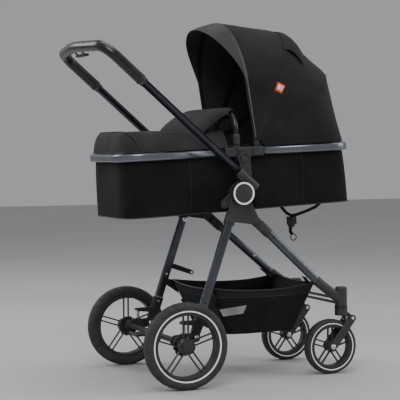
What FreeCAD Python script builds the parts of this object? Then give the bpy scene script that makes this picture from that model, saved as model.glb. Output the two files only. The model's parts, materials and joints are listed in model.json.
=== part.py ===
"""A folding baby stroller with a lie-flat bassinet, as one STEP file per sub-part, in millimetres.

X is lateral (+X is the left side), the stroller faces -Y, the handle is towards +Y and the wheels
stand on z = 0. Side pieces are drawn on the left and mirrored. Two layers keep each side free to fold:
everything fixed or on the seat stays inside FRAME_OUTER_X, and the folding handle stays outside it.
"""
import FreeCAD, Part
import math
import os

# ---- driving dimensions -------------------------------------------------------------------------
GAP = 0.3                    # face-to-face gap between pieces that move past each other
RUN = 0.05                   # radial running clearance of a pin in its bore

SEAT_HALF_WIDTH = 198.0      # outer face of the bassinet rail
SEAT_PITCH = 2.67            # degrees, head end up
HEAD_LENGTH = 399.0          # seat pivot to the rail's head end
FOOT_LENGTH = 404.0          # seat pivot to the rail's foot end
RAIL_WIDTH = 16.0
RAIL_HEIGHT = 26.0
RAIL_RISE = 21.0             # rail centre above the seat pivot
BODY_DEPTH = 183.0           # rail centre to the bassinet's underside
BODY_WALL = 8.0
BODY_TAPER = 3.0             # how much each side draws in towards the underside
BODY_LEAN = 3.5              # how much each end leans out towards the underside
MATTRESS_THICKNESS = 40.0

HUB_HEIGHT = 600.0           # handle fold pivot
HUB_BEHIND_FRONT_AXLE = 337.9
HUB_RADIUS = 34.0
SEAT_PIVOT_RISE = 109.5      # seat pivot above the hub
SEAT_PIVOT_FORWARD = 16.5    # seat pivot in front of the hub
HUB_TO_EAR_FORWARD = 53.5    # front leg pivot, from the hub
HUB_TO_EAR_DOWN = 87.0
EAR_RADIUS = 16.0

REAR_WHEEL_RADIUS = 135.0
REAR_TYRE_WIDTH = 41.6
REAR_TYRE_INNER = 104.0
REAR_TRACK = 574.6           # between the rear wheels' middles
FRONT_WHEEL_RADIUS = 89.8
FRONT_TYRE_WIDTH = 34.6
FRONT_TYRE_INNER = 70.0
FRONT_TRACK = 343.0
WHEELBASE = 552.4
CASTER_TRAIL = 40.6          # swivel axis in front of the front axle
SPOKES = 5
AXLE_RADIUS = 5.0

HANDLE_TUBE_RADIUS = 12.5
HANDLE_TUBE_WALL = 1.6
HANDLE_ANGLE = 41.4          # degrees above level
HANDLE_OFFSET = 44.7         # tube axis from the hub axis
HANDLE_TUBE_START = 52.0     # along the tube axis, from the point nearest the hub
HANDLE_TUBE_LENGTH = 429.0
GRIP_SIDE_LENGTH = 158.0     # from the lower tube's end to the grip's corner
GRIP_RADIUS = 17.0
GRIP_CORNER = 55.0
GRIP_BULGE = 31.0            # how far the crossbar's middle stands behind its corners
GRIP_CROSSBAR_BEND = 400.0   # bend radius at the crossbar's middle
HANDLE_INSERT = 150.0        # sliding length of the upper handle inside each lower tube

LEG_DEPTH = 30.0             # rear leg section, fore and aft
LEG_WIDTH = 16.0
FRONT_LEG_DEPTH = 26.0
FRONT_LEG_WIDTH = 20.0
LEG_WALL = 1.6

ARCH_HEIGHT = 399.0          # canopy pivot to the crown, outermost layer
CANOPY_PIVOT_FORWARD = 48.2  # from the seat pivot, along the rail
CANOPY_PIVOT_RISE = 45.8
PANEL_THICKNESS = 2.4
BOW_THICKNESS = 3.0
BOW_WIDTH = 12.0
REAR_PANEL_CORNER = 142.0    # the rear panel's lower corners, inside the bows' sweep
LAYER_GAP = 0.7              # between pieces that slide over each other
SEAM_GAP = 0.2               # between a panel and the bow under it
FRONT_BOW_ANGLE = 83.7       # degrees from the foot direction, seen along the rail
MID_BOW_ANGLE = 114.3
REAR_BOW_ANGLE = 146.2
VISOR_ANGLE = 72.5

BASKET_RIM_HEIGHT = 298.0
BASKET_FLOOR_HEIGHT = 143.0
BASKET_WALL = 2.5

# ---- places worked out from them ----------------------------------------------------------------
FRAME_OUTER_X = SEAT_HALF_WIDTH + 17.2    # outer limit of the fixed layer
FRAME_INNER_X = SEAT_HALF_WIDTH + 1.0
HANDLE_INNER_X = FRAME_OUTER_X + GAP
HANDLE_X = HANDLE_INNER_X + HANDLE_TUBE_RADIUS + 0.6
HANDLE_OUTER_X = HANDLE_INNER_X + 29.5
LEG_X = FRAME_OUTER_X - 11.2              # rear leg's middle
FRONT_LEG_TOP_X = FRAME_OUTER_X - FRONT_LEG_WIDTH / 2 - 0.2
REAR_WHEEL_X = REAR_TRACK / 2
CASTER_X = FRONT_TRACK / 2

FRONT_AXLE_Y = -WHEELBASE
HUB = (FRONT_AXLE_Y + HUB_BEHIND_FRONT_AXLE, HUB_HEIGHT)
EAR = (HUB[0] - HUB_TO_EAR_FORWARD, HUB[1] - HUB_TO_EAR_DOWN)
SEAT_PIVOT = (HUB[0] - SEAT_PIVOT_FORWARD, HUB[1] + SEAT_PIVOT_RISE)
SWIVEL_Y = FRONT_AXLE_Y - CASTER_TRAIL
FORK_PIVOT = (FRONT_AXLE_Y - 71.6, FRONT_WHEEL_RADIUS + 91.2)
ELBOW_BOTTOM = FORK_PIVOT[1] + 36.0
ELBOW_TOP = ELBOW_BOTTOM + 68.0
REAR_PIVOT = (-59.0, REAR_WHEEL_RADIUS + 16.0)

HANDLE_DIRECTION = (math.cos(math.radians(HANDLE_ANGLE)), math.sin(math.radians(HANDLE_ANGLE)))
HANDLE_FOOT = (HUB[0] - HANDLE_OFFSET * HANDLE_DIRECTION[1], HUB[1] + HANDLE_OFFSET * HANDLE_DIRECTION[0])

LEG_TOP = (HUB[0] + 23.0, HUB[1] - 62.0)
LEG_FOOT = (REAR_PIVOT[0] - 17.0, REAR_PIVOT[1] + 46.0)
FRONT_LEG_TOP = (FRONT_LEG_TOP_X, EAR[0] - 16.0, EAR[1] - 13.0)
FRONT_LEG_FOOT = (CASTER_X + 4.0, SWIVEL_Y + 72.0, ELBOW_BOTTOM + 72.0)

RAIL_TOP = RAIL_RISE + RAIL_HEIGHT / 2    # the seat's own frame from here: y from the seat pivot
RAIL_BOTTOM = RAIL_RISE - RAIL_HEIGHT / 2
BODY_BOTTOM = RAIL_RISE - BODY_DEPTH
BODY_HALF_WIDTH = SEAT_HALF_WIDTH - RAIL_WIDTH - 0.5
CANOPY_PIVOT = (-CANOPY_PIVOT_FORWARD, CANOPY_PIVOT_RISE)
CANOPY_HALF_WIDTH = SEAT_HALF_WIDTH + 7.0
CANOPY_EAR = 6.0
BUMPER_Y = 19.0
BUMPER_X = SEAT_HALF_WIDTH - 1.0
BUMPER_TOP = 149.5
BUMPER_RADIUS = 9.0
PLUG_RADIUS = 5.0             # the bumper bar's ends, in their sockets
STEM_RADIUS = 8.0             # the caster's swivel stem
STEM_LENGTH = 34.0


def grip_corner():
    """Where the grip's side and crossbar lines meet, on the left."""
    along = HANDLE_TUBE_START + HANDLE_TUBE_LENGTH + GRIP_SIDE_LENGTH
    return along_handle(along, HANDLE_X)


def along_handle(distance, x):
    """A point on the handle tube's axis, measured from the point nearest the hub."""
    return (x, HANDLE_FOOT[0] + distance * HANDLE_DIRECTION[0],
            HANDLE_FOOT[1] + distance * HANDLE_DIRECTION[1])


GRIP_MIDDLE_Y = grip_corner()[1] + GRIP_BULGE
FRONT_LIMIT = FRONT_AXLE_Y - FRONT_WHEEL_RADIUS
CORNER_CUT = GRIP_CROSSBAR_BEND * (1 / math.cos(math.atan(GRIP_BULGE / HANDLE_X)) - 1)
BACK_LIMIT = max(GRIP_MIDDLE_Y - CORNER_CUT + GRIP_RADIUS, REAR_WHEEL_RADIUS)
CENTRE_SHIFT = -(FRONT_LIMIT + BACK_LIMIT) / 2    # puts the origin under the middle of the stroller


# ---- shape helpers ------------------------------------------------------------------------------
def vec(x, y, z):
    return FreeCAD.Vector(x, y, z)


def rod(start, end, radius):
    start, end = vec(*start), vec(*end)
    return Part.makeCylinder(radius, (end - start).Length, start, end - start)


def cross_rod(y, z, x0, x1, radius):
    """A cylinder along X."""
    return Part.makeCylinder(radius, x1 - x0, vec(x0, y, z), vec(1, 0, 0))


def block(x0, x1, y0, y1, z0, z1, rounding=0.0):
    shape = Part.makeBox(x1 - x0, y1 - y0, z1 - z0, vec(x0, y0, z0))
    return shape.makeFillet(rounding, shape.Edges) if rounding else shape


def plate(outline, x0, x1):
    """A flat plate: an outline of (y, z) points, from x0 to x1."""
    points = [vec(x0, y, z) for y, z in outline]
    face = Part.Face(Part.makePolygon(points + points[:1]))
    return face.extrude(vec(x1 - x0, 0, 0))


def link(first, second, x0, x1):
    """A flat link round two circles (y, z, radius), with straight tangent sides."""
    (y0, z0, r0), (y1, z1, r1) = first, second
    length = math.hypot(y1 - y0, z1 - z0)
    base = math.atan2(z1 - z0, y1 - y0)
    lean = math.acos((r0 - r1) / length)

    def on_circle(y, z, r, angle):
        return vec(x0, y + r * math.cos(angle), z + r * math.sin(angle))

    a0, a1 = on_circle(y0, z0, r0, base + lean), on_circle(y1, z1, r1, base + lean)
    b0, b1 = on_circle(y0, z0, r0, base - lean), on_circle(y1, z1, r1, base - lean)
    edges = [Part.LineSegment(a0, a1).toShape(),
             Part.Arc(a1, on_circle(y1, z1, r1, base), b1).toShape(),
             Part.LineSegment(b1, b0).toShape(),
             Part.Arc(b0, on_circle(y0, z0, r0, base + math.pi), a0).toShape()]
    return Part.Face(Part.Wire(edges)).extrude(vec(x1 - x0, 0, 0))


def oval_bar(start, end, depth, width):
    """A bar of flat oval section, its width lying across the stroller."""
    start, end = vec(*start), vec(*end)
    radius = width / 2
    half = depth / 2 - radius
    edges = [Part.LineSegment(vec(radius, -half, 0), vec(radius, half, 0)).toShape(),
             Part.Arc(vec(radius, half, 0), vec(0, half + radius, 0), vec(-radius, half, 0)).toShape(),
             Part.LineSegment(vec(-radius, half, 0), vec(-radius, -half, 0)).toShape(),
             Part.Arc(vec(-radius, -half, 0), vec(0, -half - radius, 0), vec(radius, -half, 0)).toShape()]
    along = end - start
    bar = Part.Face(Part.Wire(edges)).extrude(vec(0, 0, along.Length))
    turn = FreeCAD.Rotation(vec(1, 0, 0), vec(0, 0, 0), along, "ZXY")
    bar.Placement = FreeCAD.Placement(start, turn)
    return bar


def oval_tube(start, end, depth, width, wall):
    inner = oval_bar(start, end, depth - 2 * wall, width - 2 * wall)
    return oval_bar(start, end, depth, width).cut(inner)


def bent_path(points, radii):
    """Straight runs through the points, joined by tangent arcs of the given radii."""
    points = [vec(*point) for point in points]
    edges, last = [], points[0]
    for before, corner, after, radius in zip(points, points[1:], points[2:], radii):
        into, out = (corner - before).normalize(), (after - corner).normalize()
        turn = into.getAngle(out)
        setback = radius * math.tan(turn / 2)
        begin, finish = corner - into * setback, corner + out * setback
        inward = (out - into).normalize()
        middle = corner + inward * (radius / math.cos(turn / 2) - radius)
        if (begin - last).Length > 1e-6:
            edges.append(Part.LineSegment(last, begin).toShape())
        edges.append(Part.Arc(begin, middle, finish).toShape())
        last = finish
    edges.append(Part.LineSegment(last, points[-1]).toShape())
    return Part.Wire(edges)


def bent_rod(points, radii, radius):
    path = bent_path(points, radii)
    start, direction = vec(*points[0]), vec(*points[1]) - vec(*points[0])
    section = Part.Wire([Part.makeCircle(radius, start, direction)])
    return path.makePipeShell([section], True, False)


def rounded_rectangle(half_width, y0, y1, z, corner0, corner1):
    """A level outline: corner0 rounds the two corners at y0, corner1 those at y1."""
    w = half_width
    edges = []

    def corner(cx, cy, radius, start):
        mid, end = math.radians(start + 45), math.radians(start + 90)
        begin = math.radians(start)
        at = [vec(cx + radius * math.cos(a), cy + radius * math.sin(a), z) for a in (begin, mid, end)]
        edges.append(Part.Arc(*at).toShape())
        return at[0], at[2]

    ends = [corner(w - corner0, y0 + corner0, corner0, -90), corner(w - corner1, y1 - corner1, corner1, 0),
            corner(-w + corner1, y1 - corner1, corner1, 90), corner(-w + corner0, y0 + corner0, corner0, 180)]
    for (_, finish), (begin, _) in zip(ends, ends[1:] + ends[:1]):
        edges.append(Part.LineSegment(finish, begin).toShape())
    return Part.Wire(Part.__sortEdges__(edges))


def mirrored(shape):
    return shape.mirror(vec(0, 0, 0), vec(1, 0, 0))


def both_sides(shape):
    return Part.makeCompound([shape, mirrored(shape)])


def fused(first, *others):
    return first.multiFuse(list(others)).removeSplitter()


def on_seat(shape):
    """Places a shape drawn in the seat's own frame, tilted with the bassinet."""
    shape = shape.copy()
    shape.rotate(vec(0, 0, 0), vec(1, 0, 0), -SEAT_PITCH)
    shape.translate(vec(0, *SEAT_PIVOT))
    return shape


def save(name, shape):
    shape = shape.copy()
    shape.translate(vec(0, CENTRE_SHIFT, 0))
    shape.exportStep("parts/%s.step" % name)


def save_pair(name, shape):
    save(name + "_left", shape)
    save(name + "_right", mirrored(shape))


# ---- wheels -------------------------------------------------------------------------------------
def tyre(x, y, radius, inner, width):
    ring = cross_rod(y, radius, x - width / 2, x + width / 2, radius)
    ring = ring.cut(cross_rod(y, radius, x - width, x + width, inner))
    outer = [e for e in ring.Edges if e.BoundBox.ZLength > 2 * radius - 1 and len(e.Vertexes) == 1]
    return ring.makeFillet(width * 0.3, outer)


def rim(x, y, radius, outer, width, hub_radius, hub_half, bore):
    """A moulded wheel with pairs of thin parallel spokes and rounded windows."""
    band = cross_rod(y, radius, x - width / 2, x + width / 2, outer)
    band = band.cut(cross_rod(y, radius, x - width, x + width, outer - 8.0))
    hub = cross_rod(y, radius, x - hub_half, x + hub_half, hub_radius)
    parts = [hub]
    for index in range(SPOKES):
        for side in (-1, 1):
            across = side * 8.0
            spoke = Part.makeBox(9.0, 5.0, outer - 14.0, vec(x - 4.5, y + across - 2.5, radius + 10.0))
            spoke.rotate(vec(x, y, radius), vec(1, 0, 0), index * 360.0 / SPOKES)
            parts.append(spoke)
    wheel = fused(band, *parts)
    return wheel.cut(cross_rod(y, radius, x - width, x + width, bore))


def build_rear_wheels():
    hub_half = REAR_TYRE_WIDTH / 2 - 2.0
    save_pair("rear_tyre", tyre(REAR_WHEEL_X, 0, REAR_WHEEL_RADIUS, REAR_TYRE_INNER, REAR_TYRE_WIDTH))
    save_pair("rear_rim", rim(REAR_WHEEL_X, 0, REAR_WHEEL_RADIUS, REAR_TYRE_INNER, REAR_TYRE_WIDTH - 10,
                              24.0, hub_half, AXLE_RADIUS + RUN))
    inside = REAR_WHEEL_X - hub_half
    gear = cross_rod(0, REAR_WHEEL_RADIUS, inside - 7.0, inside, 34.0)
    teeth = 12
    for index in range(teeth):
        notch = cross_rod(37.0, REAR_WHEEL_RADIUS, inside - 8.0, inside + 1.0, 6.0)
        notch.rotate(vec(0, 0, REAR_WHEEL_RADIUS), vec(1, 0, 0), index * 360.0 / teeth)
        gear = gear.cut(notch)
    gear = gear.cut(cross_rod(0, REAR_WHEEL_RADIUS, inside - 8.0, inside + 1.0, AXLE_RADIUS + RUN))
    save_pair("brake_gear", gear)


def build_front_wheels():
    save_pair("front_tyre", tyre(CASTER_X, FRONT_AXLE_Y, FRONT_WHEEL_RADIUS, FRONT_TYRE_INNER,
                                 FRONT_TYRE_WIDTH))
    save_pair("front_rim", rim(CASTER_X, FRONT_AXLE_Y, FRONT_WHEEL_RADIUS, FRONT_TYRE_INNER,
                               FRONT_TYRE_WIDTH - 8, 17.0, FRONT_TYRE_WIDTH / 2 + 1.9, AXLE_RADIUS + RUN))


# ---- rear end -----------------------------------------------------------------------------------
ARM_X0 = FRAME_OUTER_X - 2.2
ARM_X1 = ARM_X0 + 13.0
SPRING_Y = -20.0
SPRING_FOOT = REAR_PIVOT[1] + 14.0
SPRING_TOP = REAR_PIVOT[1] + 43.0
BEAM = (7.0, REAR_WHEEL_RADIUS + 8.0)
BEAM_RADIUS = 9.0


def between(start, end, distance):
    """A point at a distance from start along the line to end."""
    start, end = vec(*start), vec(*end)
    point = start + (end - start).normalize() * distance
    return (point.x, point.y, point.z)


def rear_leg_point(from_top=0.0, from_foot=None):
    """A point on the rear leg's axis, at a distance from the leg's top or from its foot."""
    top, foot = (LEG_X, *LEG_TOP), (LEG_X, *LEG_FOOT)
    return between(top, foot, from_top) if from_foot is None else between(foot, top, from_foot)


def rear_leg_bar():
    return oval_bar(rear_leg_point(3.0), rear_leg_point(from_foot=4.0), LEG_DEPTH, LEG_WIDTH)


def build_rear_feet():
    sleeve = oval_bar(rear_leg_point(from_foot=42.0), rear_leg_point(from_foot=0.0), LEG_DEPTH + 6.4,
                      LEG_WIDTH + 6.4)
    socket = rear_leg_bar()
    ear = link((*LEG_FOOT, 17.0), (*REAR_PIVOT, 14.0), LEG_X - 6.0, ARM_X0 - GAP)
    shelf = block(LEG_X, ARM_X1, SPRING_Y - 11.0, SPRING_Y + 11.0, SPRING_TOP, SPRING_TOP + 7.0)
    strut = link((LEG_FOOT[0], SPRING_TOP, 9.0), (SPRING_Y, SPRING_TOP + 3.0, 6.0), LEG_X - 6.0, ARM_X0 - GAP)
    pin = cross_rod(*REAR_PIVOT, ARM_X0 - GAP - 1.0, ARM_X1 + 2.0, 6.0)
    foot = fused(sleeve, ear, shelf, strut).cut(socket)
    save("rear_feet", both_sides(fused(foot, pin)))


def build_rear_axle():
    arm = link((*REAR_PIVOT, 14.0), (*BEAM, 18.0), ARM_X0, ARM_X1)
    arm = arm.cut(cross_rod(*REAR_PIVOT, ARM_X0 - 1, ARM_X1 + 1, 6.0 + RUN))
    gear_face = REAR_WHEEL_X - REAR_TYRE_WIDTH / 2 + 2.0 - 7.0
    hub = cross_rod(0, REAR_WHEEL_RADIUS, ARM_X0, gear_face - GAP, 16.0)
    axle = cross_rod(0, REAR_WHEEL_RADIUS, ARM_X0 + 1.0, REAR_WHEEL_X + REAR_TYRE_WIDTH / 2 - 2.0, AXLE_RADIUS)
    seat = block(ARM_X0, ARM_X1, SPRING_Y - 11.0, SPRING_Y + 11.0, REAR_PIVOT[1] - 6.0, SPRING_FOOT)
    side = fused(arm, hub, axle, seat)
    beam = cross_rod(*BEAM, -ARM_X0 - 1.0, ARM_X0 + 1.0, BEAM_RADIUS)
    save("rear_axle_beam", fused(beam, side, mirrored(side)))
    middle = (ARM_X0 + ARM_X1) / 2
    spring = rod((middle, SPRING_Y, SPRING_FOOT), (middle, SPRING_Y, SPRING_TOP), 6.2)
    save("rear_springs", both_sides(spring))


def build_brake_pedal():
    sleeve = cross_rod(*BEAM, -42.0, 42.0, BEAM_RADIUS + 4.0)
    tread = block(-38.0, 38.0, BEAM[0] + 8.0, BEAM[0] + 62.0, BEAM[1] - 5.0, BEAM[1] + 2.0, 1.5)
    lip = cross_rod(BEAM[0] + 62.0, BEAM[1] - 1.5, -38.0, 38.0, 6.0)
    pedal = fused(sleeve, tread, lip).cut(cross_rod(*BEAM, -45.0, 45.0, BEAM_RADIUS + RUN))
    save("brake_pedal", pedal)


# ---- fixed frame --------------------------------------------------------------------------------
TONGUE_X0 = FRAME_OUTER_X - 10.5
TONGUE_X1 = FRAME_OUTER_X - 3.9
TONGUE_Y = (SEAT_PIVOT[0] - 20.0, SEAT_PIVOT[0] + 2.0)
TONGUE_DEPTH = 26.0
POST_TOP = HUB[1] + 55.0
HUB_PIN_RADIUS = 8.0
EAR_PIN_RADIUS = 5.0
EAR_X0 = FRAME_OUTER_X - 8.2
EAR_X1 = FRAME_OUTER_X - 2.2


def build_hub_castings():
    disc = cross_rod(*HUB, FRAME_INNER_X, FRAME_OUTER_X, HUB_RADIUS)
    post = plate([(SEAT_PIVOT[0] - 27.0, POST_TOP), (SEAT_PIVOT[0] + 9.0, POST_TOP),
                  (HUB[0] + 20.0, HUB[1] + 20.0), (HUB[0] - 30.0, HUB[1])], FRAME_INNER_X, FRAME_OUTER_X)
    neck = link((*HUB, 24.0), (*LEG_TOP, 17.5), FRAME_INNER_X, FRAME_OUTER_X)
    end = rear_leg_point(35.0)
    sleeve = oval_bar(rear_leg_point(), end, LEG_DEPTH + 6.4, LEG_WIDTH + 6.4)
    web = plate([(HUB[0] - 30.0, HUB[1] - 10.0), (HUB[0] + 10.0, HUB[1] - 30.0),
                 (end[1] - 12.0, end[2] + 4.0), (EAR[0] + 4.0, EAR[1] - EAR_RADIUS + 2.0),
                 (EAR[0] - 12.0, EAR[1] + 10.0)], EAR_X0, EAR_X1)
    ear = cross_rod(*EAR, EAR_X0, EAR_X1, EAR_RADIUS)
    casting = fused(disc, post, neck, sleeve, web, ear)
    tongue_room = block(TONGUE_X0 - GAP, TONGUE_X1 + GAP, TONGUE_Y[0] - GAP, TONGUE_Y[1] + GAP,
                        POST_TOP - TONGUE_DEPTH - GAP, POST_TOP + 1.0)
    casting = casting.cut(rear_leg_bar()).cut(tongue_room)
    casting = casting.cut(cross_rod(*HUB, FRAME_INNER_X - 1, FRAME_OUTER_X + 1, HUB_PIN_RADIUS + RUN))
    casting = casting.cut(cross_rod(*EAR, EAR_X0 - 1, EAR_X1 + 1, EAR_PIN_RADIUS + RUN))
    save("hub_castings", both_sides(casting))


def build_rear_legs():
    leg = oval_tube(rear_leg_point(3.0), rear_leg_point(from_foot=4.0), LEG_DEPTH, LEG_WIDTH, LEG_WALL)
    save_pair("rear_leg", leg)


def leg_point(share):
    """A point on the rear leg's axis, from its top (0) to its foot (1)."""
    return (LEG_TOP[0] + share * (LEG_FOOT[0] - LEG_TOP[0]), LEG_TOP[1] + share * (LEG_FOOT[1] - LEG_TOP[1]))


def build_screws():
    surface = LEG_X + LEG_WIDTH / 2 + 3.2
    heads = []
    for place in (leg_point(0.08), leg_point(0.93)):
        heads.append(cross_rod(*place, surface, surface + 1.6, 4.5))
    heads.append(cross_rod(*leg_point(0.82), LEG_X + LEG_WIDTH / 2, LEG_X + LEG_WIDTH / 2 + 1.8, 4.0))
    save("frame_screws", both_sides(Part.makeCompound(heads)))


LATCH_PIVOT = leg_point(0.56)


def build_storage_latch():
    face = LEG_X + LEG_WIDTH / 2
    tip = (LATCH_PIVOT[0] - 88.0, LATCH_PIVOT[1] - 31.0)
    bar = link((*LATCH_PIVOT, 9.0), (*tip, 8.0), face + GAP, face + GAP + 4.0)
    bar = bar.cut(cross_rod(*tip, face, face + 6.0, 4.0))
    save("storage_latch", bar)


def basket_loft(inset, floor):
    rim_front, rim_back = SWIVEL_Y + 92.0, LEG_TOP[0] + 62.0
    low_front, low_back = rim_front + 66.0, rim_back - 66.0
    wires = []
    for front, back, front_half, back_half, z in (
            (low_front, low_back, CASTER_X - 33.5, CASTER_X - 8.0, floor),
            (rim_front, rim_back, CASTER_X - 15.5, CASTER_X + 10.0, BASKET_RIM_HEIGHT)):
        f, b = front + inset, back - inset
        wf, wb = front_half - inset, back_half - inset
        z = z + (0.01 if inset and z == BASKET_RIM_HEIGHT else 0.0)
        corners = [vec(-wf, f, z), vec(wf, f, z), vec(wb, b, z), vec(-wb, b, z)]
        wires.append(Part.makePolygon(corners + corners[:1]))
    return Part.makeLoft(wires, True, True)


def build_basket():
    shell = basket_loft(0.0, BASKET_FLOOR_HEIGHT)
    shell = shell.cut(basket_loft(BASKET_WALL, BASKET_FLOOR_HEIGHT + BASKET_WALL))
    back = LEG_TOP[0] + 62.0
    tab_y = leg_point(0.70)[0]
    tab = block(CASTER_X + 9.0, LEG_X - LEG_WIDTH / 2 - GAP, back - 8.0, tab_y + 8.0,
                BASKET_RIM_HEIGHT - 24.0, BASKET_RIM_HEIGHT - 2.0)
    hem = block(CASTER_X - 20.0, CASTER_X + 11.0, back - 5.0, back - 0.2, BASKET_RIM_HEIGHT - 24.0,
                BASKET_RIM_HEIGHT - 2.0)
    side = fused(tab, hem)
    save("basket", fused(shell, side, mirrored(side)))


# ---- front legs and casters ---------------------------------------------------------------------
BRACKET_LENGTH = 46.0
LEG_INSERT = 30.0


def build_front_legs():
    save_pair("front_leg", oval_tube(between(FRONT_LEG_TOP, FRONT_LEG_FOOT, 14.0), FRONT_LEG_FOOT,
                                     FRONT_LEG_DEPTH, FRONT_LEG_WIDTH, LEG_WALL))
    sleeve_end = between(FRONT_LEG_TOP, FRONT_LEG_FOOT, BRACKET_LENGTH)
    sleeve_start = between(FRONT_LEG_TOP, FRONT_LEG_FOOT, 2.0)
    sleeve = oval_bar(sleeve_start, sleeve_end, FRONT_LEG_DEPTH + 6.0, FRONT_LEG_WIDTH + 6.0)
    plate_x0 = EAR_X0 - GAP - 8.0
    cheek = link((*EAR, EAR_RADIUS), (sleeve_end[1], sleeve_end[2], 14.0), plate_x0, EAR_X0 - GAP)
    bracket = fused(sleeve, cheek)
    room = cross_rod(*EAR, EAR_X0 - GAP, FRAME_OUTER_X + 20.0, EAR_RADIUS + 2.0)
    beyond = block(FRAME_OUTER_X, FRAME_OUTER_X + 40.0, EAR[0] - 200.0, EAR[0] + 60.0, EAR[1] - 200.0,
                   EAR[1] + 60.0)
    leg_room = oval_bar(between(FRONT_LEG_TOP, FRONT_LEG_FOOT, 14.0), FRONT_LEG_FOOT, FRONT_LEG_DEPTH,
                        FRONT_LEG_WIDTH)
    bracket = bracket.cut(room).cut(beyond).cut(leg_room)
    pin = cross_rod(*EAR, EAR_X0 - GAP - 2.0, FRAME_OUTER_X - GAP, EAR_PIN_RADIUS)
    head = cross_rod(*EAR, EAR_X1 + GAP / 2, FRAME_OUTER_X - GAP, 8.0)
    save("front_brackets", both_sides(fused(bracket, pin, head)))


def build_front_elbows():
    seat = between(FRONT_LEG_FOOT, FRONT_LEG_TOP, LEG_INSERT)
    corner = (CASTER_X, SWIVEL_Y + 3.0, ELBOW_BOTTOM + 24.0)
    sleeve = oval_bar(seat, corner, FRONT_LEG_DEPTH + 6.0, FRONT_LEG_WIDTH + 6.0)
    head = rod((CASTER_X, SWIVEL_Y, ELBOW_BOTTOM), (CASTER_X, SWIVEL_Y, ELBOW_TOP), 20.0)
    head = head.makeFillet(7.0, [e for e in head.Edges if abs(e.BoundBox.ZMin - ELBOW_TOP) < 0.01])
    elbow = fused(sleeve, head)
    leg_room = oval_bar(FRONT_LEG_TOP, FRONT_LEG_FOOT, FRONT_LEG_DEPTH, FRONT_LEG_WIDTH)
    elbow = elbow.cut(leg_room)
    bore_top = (CASTER_X, SWIVEL_Y, ELBOW_BOTTOM + STEM_LENGTH + 2.0)
    elbow = elbow.cut(rod((CASTER_X, SWIVEL_Y, ELBOW_BOTTOM - 1), bore_top, STEM_RADIUS + RUN))
    inner = CASTER_X - 16.0
    bars = [cross_rod(y, z, -inner, inner, 4.5)
            for y, z in ((SWIVEL_Y - 2.0, ELBOW_BOTTOM + 26.0), (SWIVEL_Y + 2.0, ELBOW_BOTTOM + 12.0))]
    save("front_crossbars", Part.makeCompound(bars))
    save("front_elbows", both_sides(elbow.cut(bars[0]).cut(bars[1])))


ARM_INSIDE = FRONT_TYRE_WIDTH / 2 + 2.2
ARM_OUTSIDE = ARM_INSIDE + 6.0
LUG_HALF = 8.0
CASTER_FLOOR = FORK_PIVOT[1] + 9.0
FORK_SPRING_Y = FORK_PIVOT[0] + 18.5
FORK_SPRING_FOOT = FORK_PIVOT[1] - 9.0


def build_casters():
    housing = rod((CASTER_X, SWIVEL_Y, CASTER_FLOOR), (CASTER_X, SWIVEL_Y, ELBOW_BOTTOM - GAP), 21.0)
    lug = link((*FORK_PIVOT, 10.0), (SWIVEL_Y, CASTER_FLOOR + 14.0, 12.0), CASTER_X - LUG_HALF,
               CASTER_X + LUG_HALF)
    stem = rod((CASTER_X, SWIVEL_Y, ELBOW_BOTTOM - 2.0), (CASTER_X, SWIVEL_Y, ELBOW_BOTTOM + STEM_LENGTH),
               STEM_RADIUS)
    caster = fused(housing, lug, stem)
    wheel_room = cross_rod(FRONT_AXLE_Y, FRONT_WHEEL_RADIUS, CASTER_X - 30, CASTER_X + 30,
                           FRONT_WHEEL_RADIUS + 13.0)
    caster = caster.cut(wheel_room)
    caster = caster.cut(cross_rod(*FORK_PIVOT, CASTER_X - 20, CASTER_X + 20, AXLE_RADIUS + RUN))
    save_pair("caster", caster)


def build_forks():
    axle_at = (FRONT_AXLE_Y, FRONT_WHEEL_RADIUS)
    parts = []
    for x0, x1 in ((-ARM_OUTSIDE, -ARM_INSIDE), (ARM_INSIDE, ARM_OUTSIDE)):
        parts.append(link((*FORK_PIVOT, 12.0), (*axle_at, 14.0), CASTER_X + x0, CASTER_X + x1))
    for place in (FORK_PIVOT, axle_at):
        parts.append(cross_rod(*place, CASTER_X - ARM_INSIDE - 1, CASTER_X + ARM_INSIDE + 1, AXLE_RADIUS))
    shelf = block(CASTER_X + LUG_HALF + 1.0, CASTER_X + ARM_INSIDE + 1, FORK_SPRING_Y - 6.0,
                  FORK_SPRING_Y + 5.5, FORK_SPRING_FOOT - 4.0, FORK_SPRING_FOOT)
    other = shelf.copy()
    other.translate(vec(-2 * LUG_HALF - ARM_INSIDE - 2.0 + LUG_HALF, 0, 0))
    parts += [shelf, other]
    save_pair("fork", fused(parts[0], *parts[1:]))
    springs = []
    for side in (-1, 1):
        x = CASTER_X + side * (LUG_HALF + ARM_INSIDE) / 2
        springs.append(rod((x, FORK_SPRING_Y, FORK_SPRING_FOOT), (x, FORK_SPRING_Y, CASTER_FLOOR), 4.4))
    save_pair("front_spring", Part.makeCompound(springs))


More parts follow.
